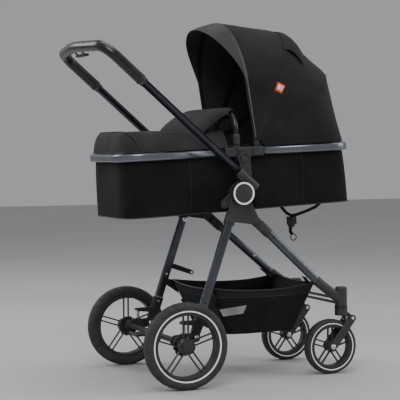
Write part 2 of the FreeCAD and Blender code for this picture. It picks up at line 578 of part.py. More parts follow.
# ---- folding handle -----------------------------------------------------------------------------
def build_handle_castings():
    x0, x1 = HANDLE_INNER_X, HANDLE_OUTER_X
    top = along_handle(HANDLE_TUBE_START - 6.0, HANDLE_X)
    low = along_handle(-14.0, HANDLE_X)
    disc = cross_rod(*HUB, x0, x1, HUB_RADIUS)
    neck = plate([(HUB[0] - 30.0, HUB[1] + 14.0), (low[1] - 4.0, low[2] - 2.0), (top[1] + 12.0, top[2] - 12.0),
                  (HUB[0] + 2.0, HUB[1] + 34.0), (HUB[0] + 26.0, HUB[1] + 20.0)], x0, x0 + 24.0)
    sleeve = rod(along_handle(-26.0, HANDLE_X + 2.2), along_handle(HANDLE_TUBE_START + 4.0, HANDLE_X + 2.2),
                 HANDLE_TUBE_RADIUS + 2.6)
    casting = fused(disc, neck, sleeve)
    tube_room = rod(along_handle(HANDLE_TUBE_START - 34.0, HANDLE_X), along_handle(400.0, HANDLE_X),
                    HANDLE_TUBE_RADIUS)
    pin = cross_rod(*HUB, FRAME_INNER_X, x0 + 2.0, HUB_PIN_RADIUS)
    casting = fused(casting.cut(tube_room), pin)
    save_pair("handle_casting", casting)
    ring = cross_rod(*HUB, x1, x1 + 3.0, HUB_RADIUS + 1.5)
    ring = ring.cut(cross_rod(*HUB, x1 - 1, x1 + 4.0, HUB_RADIUS - 3.5))
    save("hub_rings", both_sides(ring))


def build_handle_tubes():
    start = along_handle(HANDLE_TUBE_START - 34.0, HANDLE_X)
    end_distance = HANDLE_TUBE_START + HANDLE_TUBE_LENGTH
    end = along_handle(end_distance, HANDLE_X)
    tube = rod(start, end, HANDLE_TUBE_RADIUS)
    collar = rod(along_handle(end_distance - 12.0, HANDLE_X), end, HANDLE_TUBE_RADIUS + 2.5)
    shape = fused(tube, collar).cut(rod(start, end, HANDLE_TUBE_RADIUS - HANDLE_TUBE_WALL))
    save_pair("handle_tube", shape)


def grip_points(start):
    """The upper handle's line from one end to the other, starting at a distance along the tube."""
    corner = grip_corner()
    middle = (0.0, corner[1] + GRIP_BULGE, corner[2] + 9.0)
    side = [along_handle(start, HANDLE_X), corner]
    return side + [middle] + [(-x, y, z) for x, y, z in reversed(side)]


TRIGGER_TRAVEL = 8.0
POST_X = 34.0
POST_RADIUS = 3.0


def trigger_point(x, along):
    """A point in line with the grip's crossbar, at a distance before its axis."""
    z = grip_corner()[2] + 9.0
    return (x, GRIP_MIDDLE_Y - along * HANDLE_DIRECTION[0], z - along * HANDLE_DIRECTION[1])


def build_upper_handle():
    """A bare tube that slides in the lower tubes, and the padded sleeve over its upper part."""
    end = HANDLE_TUBE_START + HANDLE_TUBE_LENGTH
    bends = [GRIP_CORNER, GRIP_CROSSBAR_BEND, GRIP_CORNER]
    core = bent_rod(grip_points(end - HANDLE_INSERT), bends, HANDLE_TUBE_RADIUS - HANDLE_TUBE_WALL - RUN)
    sleeve = bent_rod(grip_points(end + GAP), bends, GRIP_RADIUS).cut(core)
    for x in (-POST_X, POST_X):
        room = rod(trigger_point(x, GRIP_RADIUS + 12.0), trigger_point(x, -5.0), POST_RADIUS + RUN)
        core, sleeve = core.cut(room), sleeve.cut(room)
    save("handle_bar", core)
    save("handle_grip", sleeve)


def build_fold_trigger():
    """A squeeze lever before the crossbar, on two posts that slide into it."""
    reach = GRIP_RADIUS + TRIGGER_TRAVEL + 10.5
    _, y, z = trigger_point(0.0, reach)
    lever = block(-48.0, 48.0, y - 12.0, y + 4.0, z - 7.0, z + 2.0, 2.5)
    parts = [rod(trigger_point(x, reach - 2.0), trigger_point(x, 8.0), POST_RADIUS)
             for x in (-POST_X, POST_X)]
    save("fold_trigger", fused(lever, *parts))


# ---- seat adaptors and buttons ------------------------------------------------------------------
ADAPTOR_X0 = TONGUE_X0 - 0.2
ADAPTOR_X1 = TONGUE_X1 + 1.2
PIVOT_BOSS_RADIUS = 12.0
BUTTON_RADIUS = 14.0
BUTTON_TRAVEL = 3.0


def build_seat_adaptors():
    disc = cross_rod(*SEAT_PIVOT, ADAPTOR_X0, ADAPTOR_X1, 21.0)
    wedge = plate([(SEAT_PIVOT[0] - 20.0, SEAT_PIVOT[1] + 4.0), (SEAT_PIVOT[0] + 20.0, SEAT_PIVOT[1] + 4.0),
                   (SEAT_PIVOT[0] + 9.0, POST_TOP), (SEAT_PIVOT[0] - 27.0, POST_TOP)], ADAPTOR_X0, ADAPTOR_X1)
    tongue = block(TONGUE_X0, TONGUE_X1, *TONGUE_Y, POST_TOP - TONGUE_DEPTH, POST_TOP + 1.0)
    boss = cross_rod(*SEAT_PIVOT, SEAT_HALF_WIDTH - 7.0, ADAPTOR_X0 + 1.0, PIVOT_BOSS_RADIUS)
    adaptor = fused(disc, wedge, tongue, boss)
    pocket = cross_rod(*SEAT_PIVOT, ADAPTOR_X1 - 6.0, ADAPTOR_X1 + 1.0, BUTTON_RADIUS + RUN)
    save("seat_adaptors", both_sides(adaptor.cut(pocket)))
    button = cross_rod(*SEAT_PIVOT, ADAPTOR_X1 - 6.0 + BUTTON_TRAVEL + GAP, ADAPTOR_X1 + 1.8, BUTTON_RADIUS)
    save_pair("seat_button", button)


# ---- bassinet -----------------------------------------------------------------------------------
HUB_HEAD_SIDE = -72.0        # the hub block's ends, along the rail
HUB_FOOT_SIDE = 60.0
RAIL_CORNER_HEAD = 72.0
RAIL_CORNER_FOOT = 85.0


def build_rails():
    outer = rounded_rectangle(SEAT_HALF_WIDTH, -HEAD_LENGTH, FOOT_LENGTH, RAIL_BOTTOM, RAIL_CORNER_HEAD,
                              RAIL_CORNER_FOOT)
    inner = rounded_rectangle(SEAT_HALF_WIDTH - RAIL_WIDTH, RAIL_WIDTH - HEAD_LENGTH, FOOT_LENGTH - RAIL_WIDTH,
                              RAIL_BOTTOM, RAIL_CORNER_HEAD - RAIL_WIDTH, RAIL_CORNER_FOOT - RAIL_WIDTH)
    up = vec(0, 0, RAIL_HEIGHT)
    ring = Part.Face(outer).extrude(up).cut(Part.Face(inner).extrude(up))
    level = [e for e in ring.Edges if e.BoundBox.ZLength < 1e-6]
    ring = ring.makeFillet(RAIL_WIDTH * 0.45, level)
    wide = SEAT_HALF_WIDTH + 20.0
    head = ring.common(block(-wide, wide, -HEAD_LENGTH - 10.0, HUB_HEAD_SIDE, RAIL_BOTTOM - 1, RAIL_TOP + 1))
    foot = ring.common(block(-wide, wide, HUB_FOOT_SIDE, FOOT_LENGTH + 10.0, RAIL_BOTTOM - 1, RAIL_TOP + 1))
    save("head_rail", on_seat(head))
    save("foot_rail", on_seat(foot))


def build_seat_hubs():
    x0, x1 = SEAT_HALF_WIDTH - RAIL_WIDTH, ADAPTOR_X0 - GAP
    body = block(x0, x1, HUB_HEAD_SIDE, HUB_FOOT_SIDE, RAIL_BOTTOM - 3.0, RAIL_TOP + 3.0)
    outer = [e for e in body.Edges if e.BoundBox.YLength > 50 and e.BoundBox.XMin > x1 - 1]
    body = body.makeFillet(5.0, outer)
    disc = cross_rod(0, 0, x0, x1, 21.0)
    bore = cross_rod(0, 0, x0 - 1, x1 + 1, PIVOT_BOSS_RADIUS + RUN)
    socket = rod((BUMPER_X, BUMPER_Y, RAIL_TOP + 3.0), (BUMPER_X, BUMPER_Y, RAIL_TOP + 12.0), 10.5)
    ear_x1 = CANOPY_HALF_WIDTH - layer_offset("front bow") + GAP + CANOPY_EAR
    boss = block(x0, ear_x1, CANOPY_PIVOT[0] - 14.0, CANOPY_PIVOT[0] + 12.0, RAIL_BOTTOM, RAIL_TOP + 3.0)
    beyond = block(x1, x1 + 20.0, -100.0, 100.0, -50.0, 90.0)
    hub = fused(fused(body, disc, socket).cut(beyond), boss).cut(bore)
    plug_room = rod((BUMPER_X, BUMPER_Y, RAIL_TOP - 8.0), (BUMPER_X, BUMPER_Y, RAIL_TOP + 20.0),
                    PLUG_RADIUS + RUN)
    save("seat_hubs", both_sides(on_seat(hub.cut(plug_room))))


def build_canopy_mounts():
    y, z = CANOPY_PIVOT
    x0 = CANOPY_HALF_WIDTH - layer_offset("front bow") + GAP
    foot = RAIL_TOP + 3.0
    ear = fused(block(x0, x0 + CANOPY_EAR, y - 9.0, y + 9.0, foot, z),
                cross_rod(y, z, x0, x0 + CANOPY_EAR, 9.0))
    ear = ear.common(block(x0 - 1, x0 + 9.0, y - 20.0, y + 20.0, foot, z + 20.0))
    pin_end = CANOPY_HALF_WIDTH - layer_offset("rear bow") - BOW_THICKNESS - GAP
    pin = cross_rod(y, z, pin_end - 2.0, x0 + 1.0, 4.0)
    head = cross_rod(y, z, pin_end - 3.5, pin_end, 7.0)
    save("canopy_mounts", both_sides(on_seat(fused(ear, pin, head))))


def body_loft(inset, bottom, top):
    half, inner = BODY_HALF_WIDTH - inset, RAIL_WIDTH + 1.0 + inset
    head, foot = inner - HEAD_LENGTH, FOOT_LENGTH - inner
    head_corner, foot_corner = RAIL_CORNER_HEAD - inner + 6.0, RAIL_CORNER_FOOT - inner + 3.0
    upper = rounded_rectangle(half, head, foot, top, head_corner, foot_corner)
    lower = rounded_rectangle(half - BODY_TAPER, head - BODY_LEAN, foot + BODY_LEAN, bottom,
                              head_corner - 36.0, foot_corner - 11.0)
    return Part.makeLoft([lower, upper], True, True)


def build_bassinet():
    shell = body_loft(0.0, BODY_BOTTOM, RAIL_TOP - 4.0)
    shell = shell.cut(body_loft(BODY_WALL, BODY_BOTTOM + BODY_WALL, RAIL_TOP - 3.9))
    save("bassinet_body", on_seat(shell))
    half = BODY_HALF_WIDTH - BODY_WALL - 17.0
    outline = rounded_rectangle(half, 40.0 - HEAD_LENGTH, FOOT_LENGTH - 40.0, BODY_BOTTOM + BODY_WALL + GAP,
                                44.0, 44.0)
    mattress = Part.Face(outline).extrude(vec(0, 0, MATTRESS_THICKNESS))
    mattress = mattress.makeFillet(12.0, [e for e in mattress.Edges if e.BoundBox.ZLength < 1e-6])
    save("mattress", on_seat(mattress))


APRON_FRONT = 42.0
APRON_TOP_FRONT = 90.0
APRON_TOP_BACK = 101.0
APRON_WALL = 3.0


def apron_block(inset, front):
    half = SEAT_HALF_WIDTH - 1.0 - inset
    back = FOOT_LENGTH - 12.0 - inset
    base = RAIL_TOP + 0.4
    outline = rounded_rectangle(half, front, back, base, 5.0, RAIL_CORNER_FOOT - 10.0 - inset)
    body = Part.Face(outline).extrude(vec(0, 0, 80.0))
    section = [(front - 5.0, base - 1), (back + 5.0, base - 1), (back + 5.0, RAIL_TOP + 22.0),
               (back - 20.0, APRON_TOP_BACK - inset), (front - 5.0, APRON_TOP_FRONT - inset)]
    body = body.common(plate(section, -half - 5, half + 5))
    chamfer = []
    for side in (-1, 1):
        points = [(side * (half + 5), base + 12.0), (side * (half + 5), 150.0), (side * (half - 64.0), 150.0),
                  (side * (half - 44.0), APRON_TOP_BACK + 1.0 - inset)]
        face = Part.Face(Part.makePolygon([vec(x, front - 10, z) for x, z in points + points[:1]]))
        chamfer.append(face.extrude(vec(0, back - front + 40.0, 0)))
    return body.cut(chamfer[0]).cut(chamfer[1])


def build_apron():
    shell = apron_block(0.0, APRON_FRONT).cut(apron_block(APRON_WALL, APRON_FRONT - 6.0))
    keep = block(-BUMPER_X + 18, BUMPER_X - 18, APRON_FRONT - 1, HUB_FOOT_SIDE + 4.0, 0, 200)
    hub_room = block(-300, 300, APRON_FRONT - 1, HUB_FOOT_SIDE + 1.0, RAIL_TOP, RAIL_TOP + 3.0 + GAP)
    shell = shell.cut(hub_room.cut(keep))
    save("apron", on_seat(shell))


def build_webbing():
    half, thick = 12.5, 2.0
    tilt_bottom = BODY_BOTTOM - GAP
    y0, y1 = 142.0 - HEAD_LENGTH, 44.0 - HEAD_LENGTH
    outer = [(y0, tilt_bottom), (y0, tilt_bottom - 20.0), (y0 - 42.0, tilt_bottom - 40.0),
             (y1, tilt_bottom - 16.0), (y1, tilt_bottom)]
    inner = [(y1 + thick, tilt_bottom), (y1 + thick, tilt_bottom - 15.0), (y0 - 42.0, tilt_bottom - 37.6),
             (y0 - thick, tilt_bottom - 19.0), (y0 - thick, tilt_bottom)]
    save("webbing_strap", on_seat(plate(outer + inner, -half, half)))
    top = tilt_bottom - 27.0
    tail = block(-7.0, 7.0, y0 - 10.5, y0 - 8.5, top - 95.0, top - 30.0)
    buckle = block(-16.0, 16.0, y0 - 14.0, y0 - 5.0, top - 32.0, top, 2.0)
    ring_at = (y0 - 9.5, top - 100.0)
    ring = cross_rod(*ring_at, -9.0, 9.0, 8.0).cut(cross_rod(*ring_at, -10.0, 10.0, 6.0))
    save("webbing_buckle", on_seat(fused(buckle, tail, ring)))


def build_bumper():
    low = RAIL_TOP + 12.0
    points = [(BUMPER_X, BUMPER_Y, low + GAP), (BUMPER_X, BUMPER_Y, BUMPER_TOP),
              (-BUMPER_X, BUMPER_Y, BUMPER_TOP), (-BUMPER_X, BUMPER_Y, low + GAP)]
    bar = bent_rod(points, [55.0, 55.0], BUMPER_RADIUS)
    plug = rod((BUMPER_X, BUMPER_Y, RAIL_TOP - 7.0), (BUMPER_X, BUMPER_Y, low + 2.0), PLUG_RADIUS)
    save("bumper_bar", on_seat(fused(bar, plug, mirrored(plug))))
    half = BUMPER_X - 14.0
    r0, r1 = BUMPER_RADIUS + GAP, BUMPER_RADIUS + GAP + 2.6
    y, z = BUMPER_Y, BUMPER_TOP
    tip = (152.0, 100.0)
    slope = math.atan2(z + r1 - tip[1] - 8.0, tip[0] - y)
    back0 = (y + r0 * math.sin(slope), z + r0 * math.cos(slope))
    back1 = (y + r1 * math.sin(slope), z + r1 * math.cos(slope))
    outline = [(y - r1, z - 34.0), (y - r1, z + 4.0), (y - 0.6 * r1, z + 0.9 * r1), (y, z + r1 + 0.6), back1,
               (tip[0], tip[1] + 2.6), tip, back0, (y, z + r0 + 0.2), (y - 0.7 * r0, z + 0.75 * r0),
               (y - r0, z), (y - r0, z - 34.0)]
    flap = plate(outline, -half, half)
    flap = flap.cut(cross_rod(y, z, -half - 1, half + 1, r0))
    save("bumper_flap", on_seat(flap))


# ---- canopy -------------------------------------------------------------------------------------
LAYERS = ("visor", "front bow", "front panel", "mid bow", "mid panel", "rear bow", "rear panel")


def layer_offset(name):
    """How far a canopy layer's outer face lies inside the outermost one.

    Each panel lies on the bow that carries it, and each such pair slides over the next one inside.
    """
    offset = 0.0
    for layer in LAYERS[:LAYERS.index(name)]:
        offset += BOW_THICKNESS + LAYER_GAP if "bow" in layer else PANEL_THICKNESS + SEAM_GAP
    return offset


def layer_thickness(name):
    return BOW_THICKNESS if "bow" in name else PANEL_THICKNESS


FOOT_RADIUS = 14.0           # where the fabric starts, from the pivot


def arch_wire(offset, thickness, start):
    """An upright arch band in the XZ plane, its pivot at the origin: straight legs and a round top."""
    outer, inner = CANOPY_HALF_WIDTH - offset, CANOPY_HALF_WIDTH - offset - thickness
    centre = ARCH_HEIGHT - CANOPY_HALF_WIDTH
    edges = [Part.LineSegment(vec(outer, 0, start), vec(outer, 0, centre)).toShape(),
             Part.Arc(vec(outer, 0, centre), vec(0, 0, centre + outer), vec(-outer, 0, centre)).toShape(),
             Part.LineSegment(vec(-outer, 0, centre), vec(-outer, 0, start)).toShape(),
             Part.LineSegment(vec(-outer, 0, start), vec(-inner, 0, start)).toShape(),
             Part.LineSegment(vec(-inner, 0, start), vec(-inner, 0, centre)).toShape(),
             Part.Arc(vec(-inner, 0, centre), vec(0, 0, centre + inner), vec(inner, 0, centre)).toShape(),
             Part.LineSegment(vec(inner, 0, centre), vec(inner, 0, start)).toShape(),
             Part.LineSegment(vec(inner, 0, start), vec(outer, 0, start)).toShape()]
    return Part.Wire(edges)


def canopy_shell(offset, thickness, angle0, angle1, start=FOOT_RADIUS):
    """An arch swept about the canopy pivot, from angle0 to angle1 above the foot direction."""
    face = Part.Face(arch_wire(offset, thickness, start))
    face.rotate(vec(0, 0, 0), vec(1, 0, 0), angle0 - 90.0)
    shell = face.revolve(vec(0, 0, 0), vec(1, 0, 0), angle1 - angle0)
    shell.translate(vec(0, *CANOPY_PIVOT))
    return shell


def build_canopy_bows():
    for name, angle in (("front", FRONT_BOW_ANGLE), ("mid", MID_BOW_ANGLE), ("rear", REAR_BOW_ANGLE)):
        offset = layer_offset(name + " bow")
        band = Part.Face(arch_wire(offset, BOW_THICKNESS, 6.0)).extrude(vec(0, BOW_WIDTH, 0))
        band.translate(vec(0, -BOW_WIDTH / 2, 0))
        band.rotate(vec(0, 0, 0), vec(1, 0, 0), angle - 90.0)
        band.translate(vec(0, *CANOPY_PIVOT))
        outer = CANOPY_HALF_WIDTH - offset
        eye = cross_rod(*CANOPY_PIVOT, outer - BOW_THICKNESS, outer, 8.2)
        hole = cross_rod(*CANOPY_PIVOT, -outer - 1, outer + 1, 4.0 + RUN)
        save("canopy_bow_" + name, on_seat(fused(band, eye, mirrored(eye)).cut(hole)))


def build_canopy_panels():
    save("canopy_panel_mid", on_seat(canopy_shell(layer_offset("mid panel"), PANEL_THICKNESS, MID_BOW_ANGLE,
                                                  REAR_BOW_ANGLE)))
    save("canopy_panel_front", on_seat(canopy_shell(layer_offset("front panel"), PANEL_THICKNESS, FRONT_BOW_ANGLE,
                                                    MID_BOW_ANGLE)))
    save("canopy_panel_rear", on_seat(rear_panel()))


def rear_profile(offset):
    """The rear panel's outer or inner skin, as a solid from the rear bow's plane to the rail."""
    half = CANOPY_HALF_WIDTH - offset
    corner = half - 1.0
    turn = math.radians(REAR_BOW_ANGLE)
    crown = ARCH_HEIGHT - offset

    def on_bow(x, r):
        return vec(x, CANOPY_PIVOT[0] + r * math.cos(turn), CANOPY_PIVOT[1] + r * math.sin(turn))

    k = corner * math.sqrt(0.5)
    base = crown - corner
    upper = [on_bow(half, FOOT_RADIUS), on_bow(half, base), on_bow(half - corner + k, base + k),
             on_bow(half - corner, crown)]
    head = -HEAD_LENGTH + 12.0 + (offset - layer_offset("rear panel"))
    low_corner = REAR_PANEL_CORNER
    m = low_corner * math.sqrt(0.5)
    z = RAIL_TOP + 0.6
    lower = [vec(half, HUB_HEAD_SIDE - 6.0, z), vec(half, head + low_corner, z),
             vec(half - low_corner + m, head + low_corner - m, z), vec(half - low_corner, head, z)]
    wires = []
    for points in (upper, lower):
        other = [vec(-p.x, p.y, p.z) for p in points]
        wires.append(Part.Wire([Part.LineSegment(points[0], points[1]).toShape(),
                                Part.Arc(points[1], points[2], points[3]).toShape(),
                                Part.LineSegment(points[3], other[3]).toShape(),
                                Part.Arc(other[3], other[2], other[1]).toShape(),
                                Part.LineSegment(other[1], other[0]).toShape(),
                                Part.LineSegment(other[0], points[0]).toShape()]))
    return Part.makeLoft(wires, True, True)


def rear_panel():
    offset = layer_offset("rear panel")
    outer = rear_profile(offset)
    inner = rear_profile(offset + PANEL_THICKNESS)
    return outer.cut(inner)


def build_visor():
    start = 198.0
    shell = canopy_shell(layer_offset("visor"), PANEL_THICKNESS, VISOR_ANGLE - 2.0, FRONT_BOW_ANGLE, start - 40.0)
    foot = math.radians(FRONT_BOW_ANGLE)
    tip = math.radians(VISOR_ANGLE)

    def at(radius, angle):
        return (CANOPY_PIVOT[0] + radius * math.cos(angle), CANOPY_PIVOT[1] + radius * math.sin(angle))

    edge = [at(start - 60.0, foot), at(start, foot - 0.004), at(ARCH_HEIGHT - 14.0, tip),
            at(ARCH_HEIGHT + 30.0, tip - 0.02),
            at(ARCH_HEIGHT + 30.0, tip - 0.6), at(start - 60.0, tip - 0.6)]
    save("canopy_visor", on_seat(shell.cut(plate(edge, -300.0, 300.0))))


def build_all():
    os.makedirs("parts", exist_ok=True)
    build_rear_wheels()
    build_front_wheels()
    build_rear_feet()
    build_rear_axle()
    build_brake_pedal()
    build_hub_castings()
    build_rear_legs()
    build_screws()
    build_storage_latch()
    build_basket()
    build_front_legs()
    build_front_elbows()
    build_casters()
    build_forks()
    build_handle_castings()
    build_handle_tubes()
    build_upper_handle()
    build_fold_trigger()
    build_seat_adaptors()
    build_rails()
    build_seat_hubs()
    build_canopy_mounts()
    build_bassinet()
    build_apron()
    build_webbing()
    build_bumper()
    build_canopy_bows()
    build_canopy_panels()
    build_visor()


build_all()
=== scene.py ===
"""Blender add-on layout for a folding baby stroller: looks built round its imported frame."""
import json
import math

import bmesh
import bpy
from bpy.props import FloatProperty, FloatVectorProperty, PointerProperty
from mathutils import Matrix, Vector, noise

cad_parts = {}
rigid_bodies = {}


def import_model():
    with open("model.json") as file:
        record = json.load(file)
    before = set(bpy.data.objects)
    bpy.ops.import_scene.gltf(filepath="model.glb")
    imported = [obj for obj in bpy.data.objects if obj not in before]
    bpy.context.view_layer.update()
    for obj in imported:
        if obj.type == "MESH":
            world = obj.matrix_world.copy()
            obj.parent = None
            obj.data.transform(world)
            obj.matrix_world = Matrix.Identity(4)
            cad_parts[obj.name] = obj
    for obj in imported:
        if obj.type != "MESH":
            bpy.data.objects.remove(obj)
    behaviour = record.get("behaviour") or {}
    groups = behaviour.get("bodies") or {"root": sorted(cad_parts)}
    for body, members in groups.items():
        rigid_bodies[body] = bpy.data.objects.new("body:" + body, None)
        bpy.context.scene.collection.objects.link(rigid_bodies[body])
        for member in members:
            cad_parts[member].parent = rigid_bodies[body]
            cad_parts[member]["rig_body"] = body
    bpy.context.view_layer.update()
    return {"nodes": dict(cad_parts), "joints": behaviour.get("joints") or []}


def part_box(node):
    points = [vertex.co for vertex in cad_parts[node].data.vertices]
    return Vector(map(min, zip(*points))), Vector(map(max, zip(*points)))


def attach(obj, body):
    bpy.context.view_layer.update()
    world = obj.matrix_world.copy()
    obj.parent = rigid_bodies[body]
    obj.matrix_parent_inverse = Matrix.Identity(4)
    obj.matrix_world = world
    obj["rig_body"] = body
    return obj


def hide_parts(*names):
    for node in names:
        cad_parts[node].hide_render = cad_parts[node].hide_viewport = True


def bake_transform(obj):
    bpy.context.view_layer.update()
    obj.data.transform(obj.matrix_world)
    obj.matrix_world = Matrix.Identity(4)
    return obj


bl_info = {
    "name": "Baby Stroller",
    "version": (1, 0, 0),
    "blender": (4, 5, 0),
    "location": "View3D > Sidebar > Stroller",
    "description": "Builds a bassinet stroller piece by piece round its packed frame",
    "category": "Add Mesh",
}

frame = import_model()
JOINTS = {joint["name"]: joint for joint in frame["joints"]}
MM = 0.001

# ---- places taken from the frame, in metres ----
SEAT_PIVOT = Vector(JOINTS["seat_tilt"]["pos_m"])
SEAT_PITCH = math.radians(-2.67)
TO_SEAT = Matrix.Translation(SEAT_PIVOT) @ Matrix.Rotation(SEAT_PITCH, 4, "X") @ Matrix.Scale(MM, 4)
TO_FRAME = Matrix.Scale(MM, 4)
HUB = Vector(JOINTS["handle_fold"]["pos_m"]) / MM
EAR = Vector(JOINTS["front_fold"]["pos_m"]) / MM
REAR_PIVOT = Vector(JOINTS["rear_suspension"]["pos_m"]) / MM
SHIFT = HUB.y + 214.5
SIDES = (("left", 1), ("right", -1))

# the seat's own frame, in millimetres: y from the seat pivot, z above it
HEAD_LENGTH = 399.0
FOOT_LENGTH = 404.0
CANOPY = Vector((0, -48.2, 45.8))
ARCH_HALF = 205.0
ARCH_CENTRE = 194.0
BOWS = {"visor": 72.5, "front": 83.7, "mid": 114.3, "rear": 146.2}


# ---- making pieces ------------------------------------------------------------------------------
def finish_piece(piece, body, material, replaces=()):
    """Gives a piece its material, its body and the nodes it stands for."""
    piece.data.materials.clear()
    for one in material if isinstance(material, (list, tuple)) else [material]:
        piece.data.materials.append(one)
    if body:
        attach(piece, body)
    if replaces:
        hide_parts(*replaces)
    return piece


def make_piece(name, bm, place, body, material, replaces=(), smooth=32.0, recalc=True):
    """Turns a bmesh in millimetres into a finished piece in the row frame."""
    if recalc:
        bmesh.ops.recalc_face_normals(bm, faces=bm.faces)
    bmesh.ops.transform(bm, matrix=place, verts=bm.verts)
    mesh = bpy.data.meshes.new(name)
    bm.to_mesh(mesh)
    bm.free()
    mesh.shade_smooth()
    if smooth < 180:
        mesh.set_sharp_from_angle(angle=math.radians(smooth))
    piece = bpy.data.objects.new(name, mesh)
    bpy.context.scene.collection.objects.link(piece)
    return finish_piece(piece, body, material, replaces)


def applied(piece):
    """Bakes a piece's modifiers into its mesh."""
    bpy.context.view_layer.update()
    graph = bpy.context.evaluated_depsgraph_get()
    mesh = bpy.data.meshes.new_from_object(piece.evaluated_get(graph))
    piece.modifiers.clear()
    piece.data = mesh
    return piece


def copied(node, name):
    """A merged copy of a node's mesh, as a new object."""
    bm = bmesh.new()
    bm.from_mesh(frame["nodes"][node].data)
    bmesh.ops.remove_doubles(bm, verts=bm.verts, dist=2e-6)
    mesh = bpy.data.meshes.new(name)
    bm.to_mesh(mesh)
    bm.free()
    piece = bpy.data.objects.new(name, mesh)
    bpy.context.scene.collection.objects.link(piece)
    return piece


def polished(node, material, smooth=32.0):
    """A node shown with shared vertices, so that its tubes shade smoothly."""
    piece = copied(node, node + "_surface")
    piece.data.shade_smooth()
    piece.data.set_sharp_from_angle(angle=math.radians(smooth))
    return finish_piece(piece, frame["nodes"][node]["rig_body"], material, [node])


def remeshed(piece, voxel):
    """Evens a piece's faces out to one size, in millimetres."""
    remesh = piece.modifiers.new("Remesh", "REMESH")
    remesh.mode = "VOXEL"
    remesh.voxel_size = voxel * MM
    return applied(piece)


def smoothed(mesh, rounds):
    """Rounds a mesh off with a few passes of smoothing."""
    bm = bmesh.new()
    bm.from_mesh(mesh)
    for _ in range(rounds):
        bmesh.ops.smooth_vert(bm, verts=bm.verts, factor=0.5, use_axis_x=True, use_axis_y=True,
                              use_axis_z=True)
    bm.to_mesh(mesh)
    bm.free()
    mesh.shade_smooth()


def moulded(node, material, voxel=1.2, rounds=4):
    """A moulding or casting: the node's shape with its edges rounded as a mould leaves them."""
    piece = remeshed(copied(node, node + "_moulding"), voxel)
    smoothed(piece.data, rounds)
    return finish_piece(piece, frame["nodes"][node]["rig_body"], material, [node])


def chain(bm, points):
    """Vertices joined by edges, one after another."""
    verts = [bm.verts.new(point) for point in points]
    edges = [bm.edges.new(pair) for pair in zip(verts, verts[1:])]
    return verts, edges


def turned(name, profile, centre, body, material, steps=48, place=TO_FRAME, side=1, replaces=(),
           smooth=32.0, lean=None):
    """A piece turned on a lathe about X: profile points are (x, radius), x pointing outwards."""
    bm = bmesh.new()
    verts, edges = chain(bm, [(x, 0.0, r) for x, r in profile])
    bmesh.ops.spin(bm, geom=verts + edges, cent=(0, 0, 0), axis=(1, 0, 0), angle=math.tau, steps=steps,
                   use_merge=True)
    bmesh.ops.remove_doubles(bm, verts=bm.verts, dist=0.01)
    matrix = Matrix.Translation(centre)
    if lean is not None:
        matrix = matrix @ Vector((1, 0, 0)).rotation_difference(Vector(lean)).to_matrix().to_4x4()
    elif side < 0:
        matrix = matrix @ Matrix.Rotation(math.pi, 4, "Z")
    bmesh.ops.transform(bm, matrix=matrix, verts=bm.verts)
    return make_piece(name, bm, place, body, material, replaces, smooth)


def bend_line(points, radii, step=9.0):
    """Points along straight runs joined by arcs of the given radii."""
    points = [Vector(point) for point in points]
    line = [points[0]]
    for before, corner, after, radius in zip(points, points[1:], points[2:], radii):
        into = (corner - before).normalized()
        out = (after - corner).normalized()
        turn = into.angle(out)
        if turn < 1e-4:
            continue
        setback = radius * math.tan(turn / 2)
        centre = corner + (out - into).normalized() * (radius / math.cos(turn / 2))
        start = corner - into * setback
        axis = into.cross(out)
        count = max(3, round(math.degrees(turn) / step))
        for index in range(count + 1):
            spoke = Matrix.Rotation(turn * index / count, 3, axis) @ (start - centre)
            line.append(centre + spoke)
    line.append(points[-1])
    return line


def swept(name, line, radius, body, material, place=TO_FRAME, sides=12, replaces=(), closed=False):
    """A round bar along a line of points, made as a bevelled curve and turned into a mesh."""
    curve = bpy.data.curves.new(name, "CURVE")
    curve.dimensions = "3D"
    curve.bevel_depth = radius
    curve.bevel_resolution = max(1, sides // 4 - 1)
    curve.use_fill_caps = True
    spline = curve.splines.new("POLY")
    spline.points.add(len(line) - 1)
    for point, at in zip(spline.points, line):
        point.co = (*at, 1.0)
    spline.use_cyclic_u = closed
    holder = bpy.data.objects.new(name, curve)
    bpy.context.scene.collection.objects.link(holder)
    bpy.context.view_layer.update()
    graph = bpy.context.evaluated_depsgraph_get()
    mesh = bpy.data.meshes.new_from_object(holder.evaluated_get(graph))
    bpy.data.objects.remove(holder)
    bm = bmesh.new()
    bm.from_mesh(mesh)
    bmesh.ops.remove_doubles(bm, verts=bm.verts, dist=0.01)
    return make_piece(name, bm, place, body, material, replaces, 40.0)


def rounded_face(bm, half, y0, y1, corner0, corner1, segments=8):
    """A level face with rounded corners; corner0 are the two at y0."""
    made = bmesh.ops.create_grid(bm, x_segments=1, y_segments=1, size=1.0)["verts"]
    for vert in made:
        vert.co = Vector((math.copysign(half, vert.co.x), y1 if vert.co.y > 0 else y0, 0.0))
    for edge, radius in ((y0, corner0), (y1, corner1)):
        ends = [v for v in bm.verts if abs(v.co.y - edge) < 0.01 and abs(abs(v.co.x) - half) < 0.01]
        bmesh.ops.bevel(bm, geom=ends, offset=radius, offset_type="OFFSET", segments=segments, profile=0.5,
                        affect="VERTICES", material=-1)


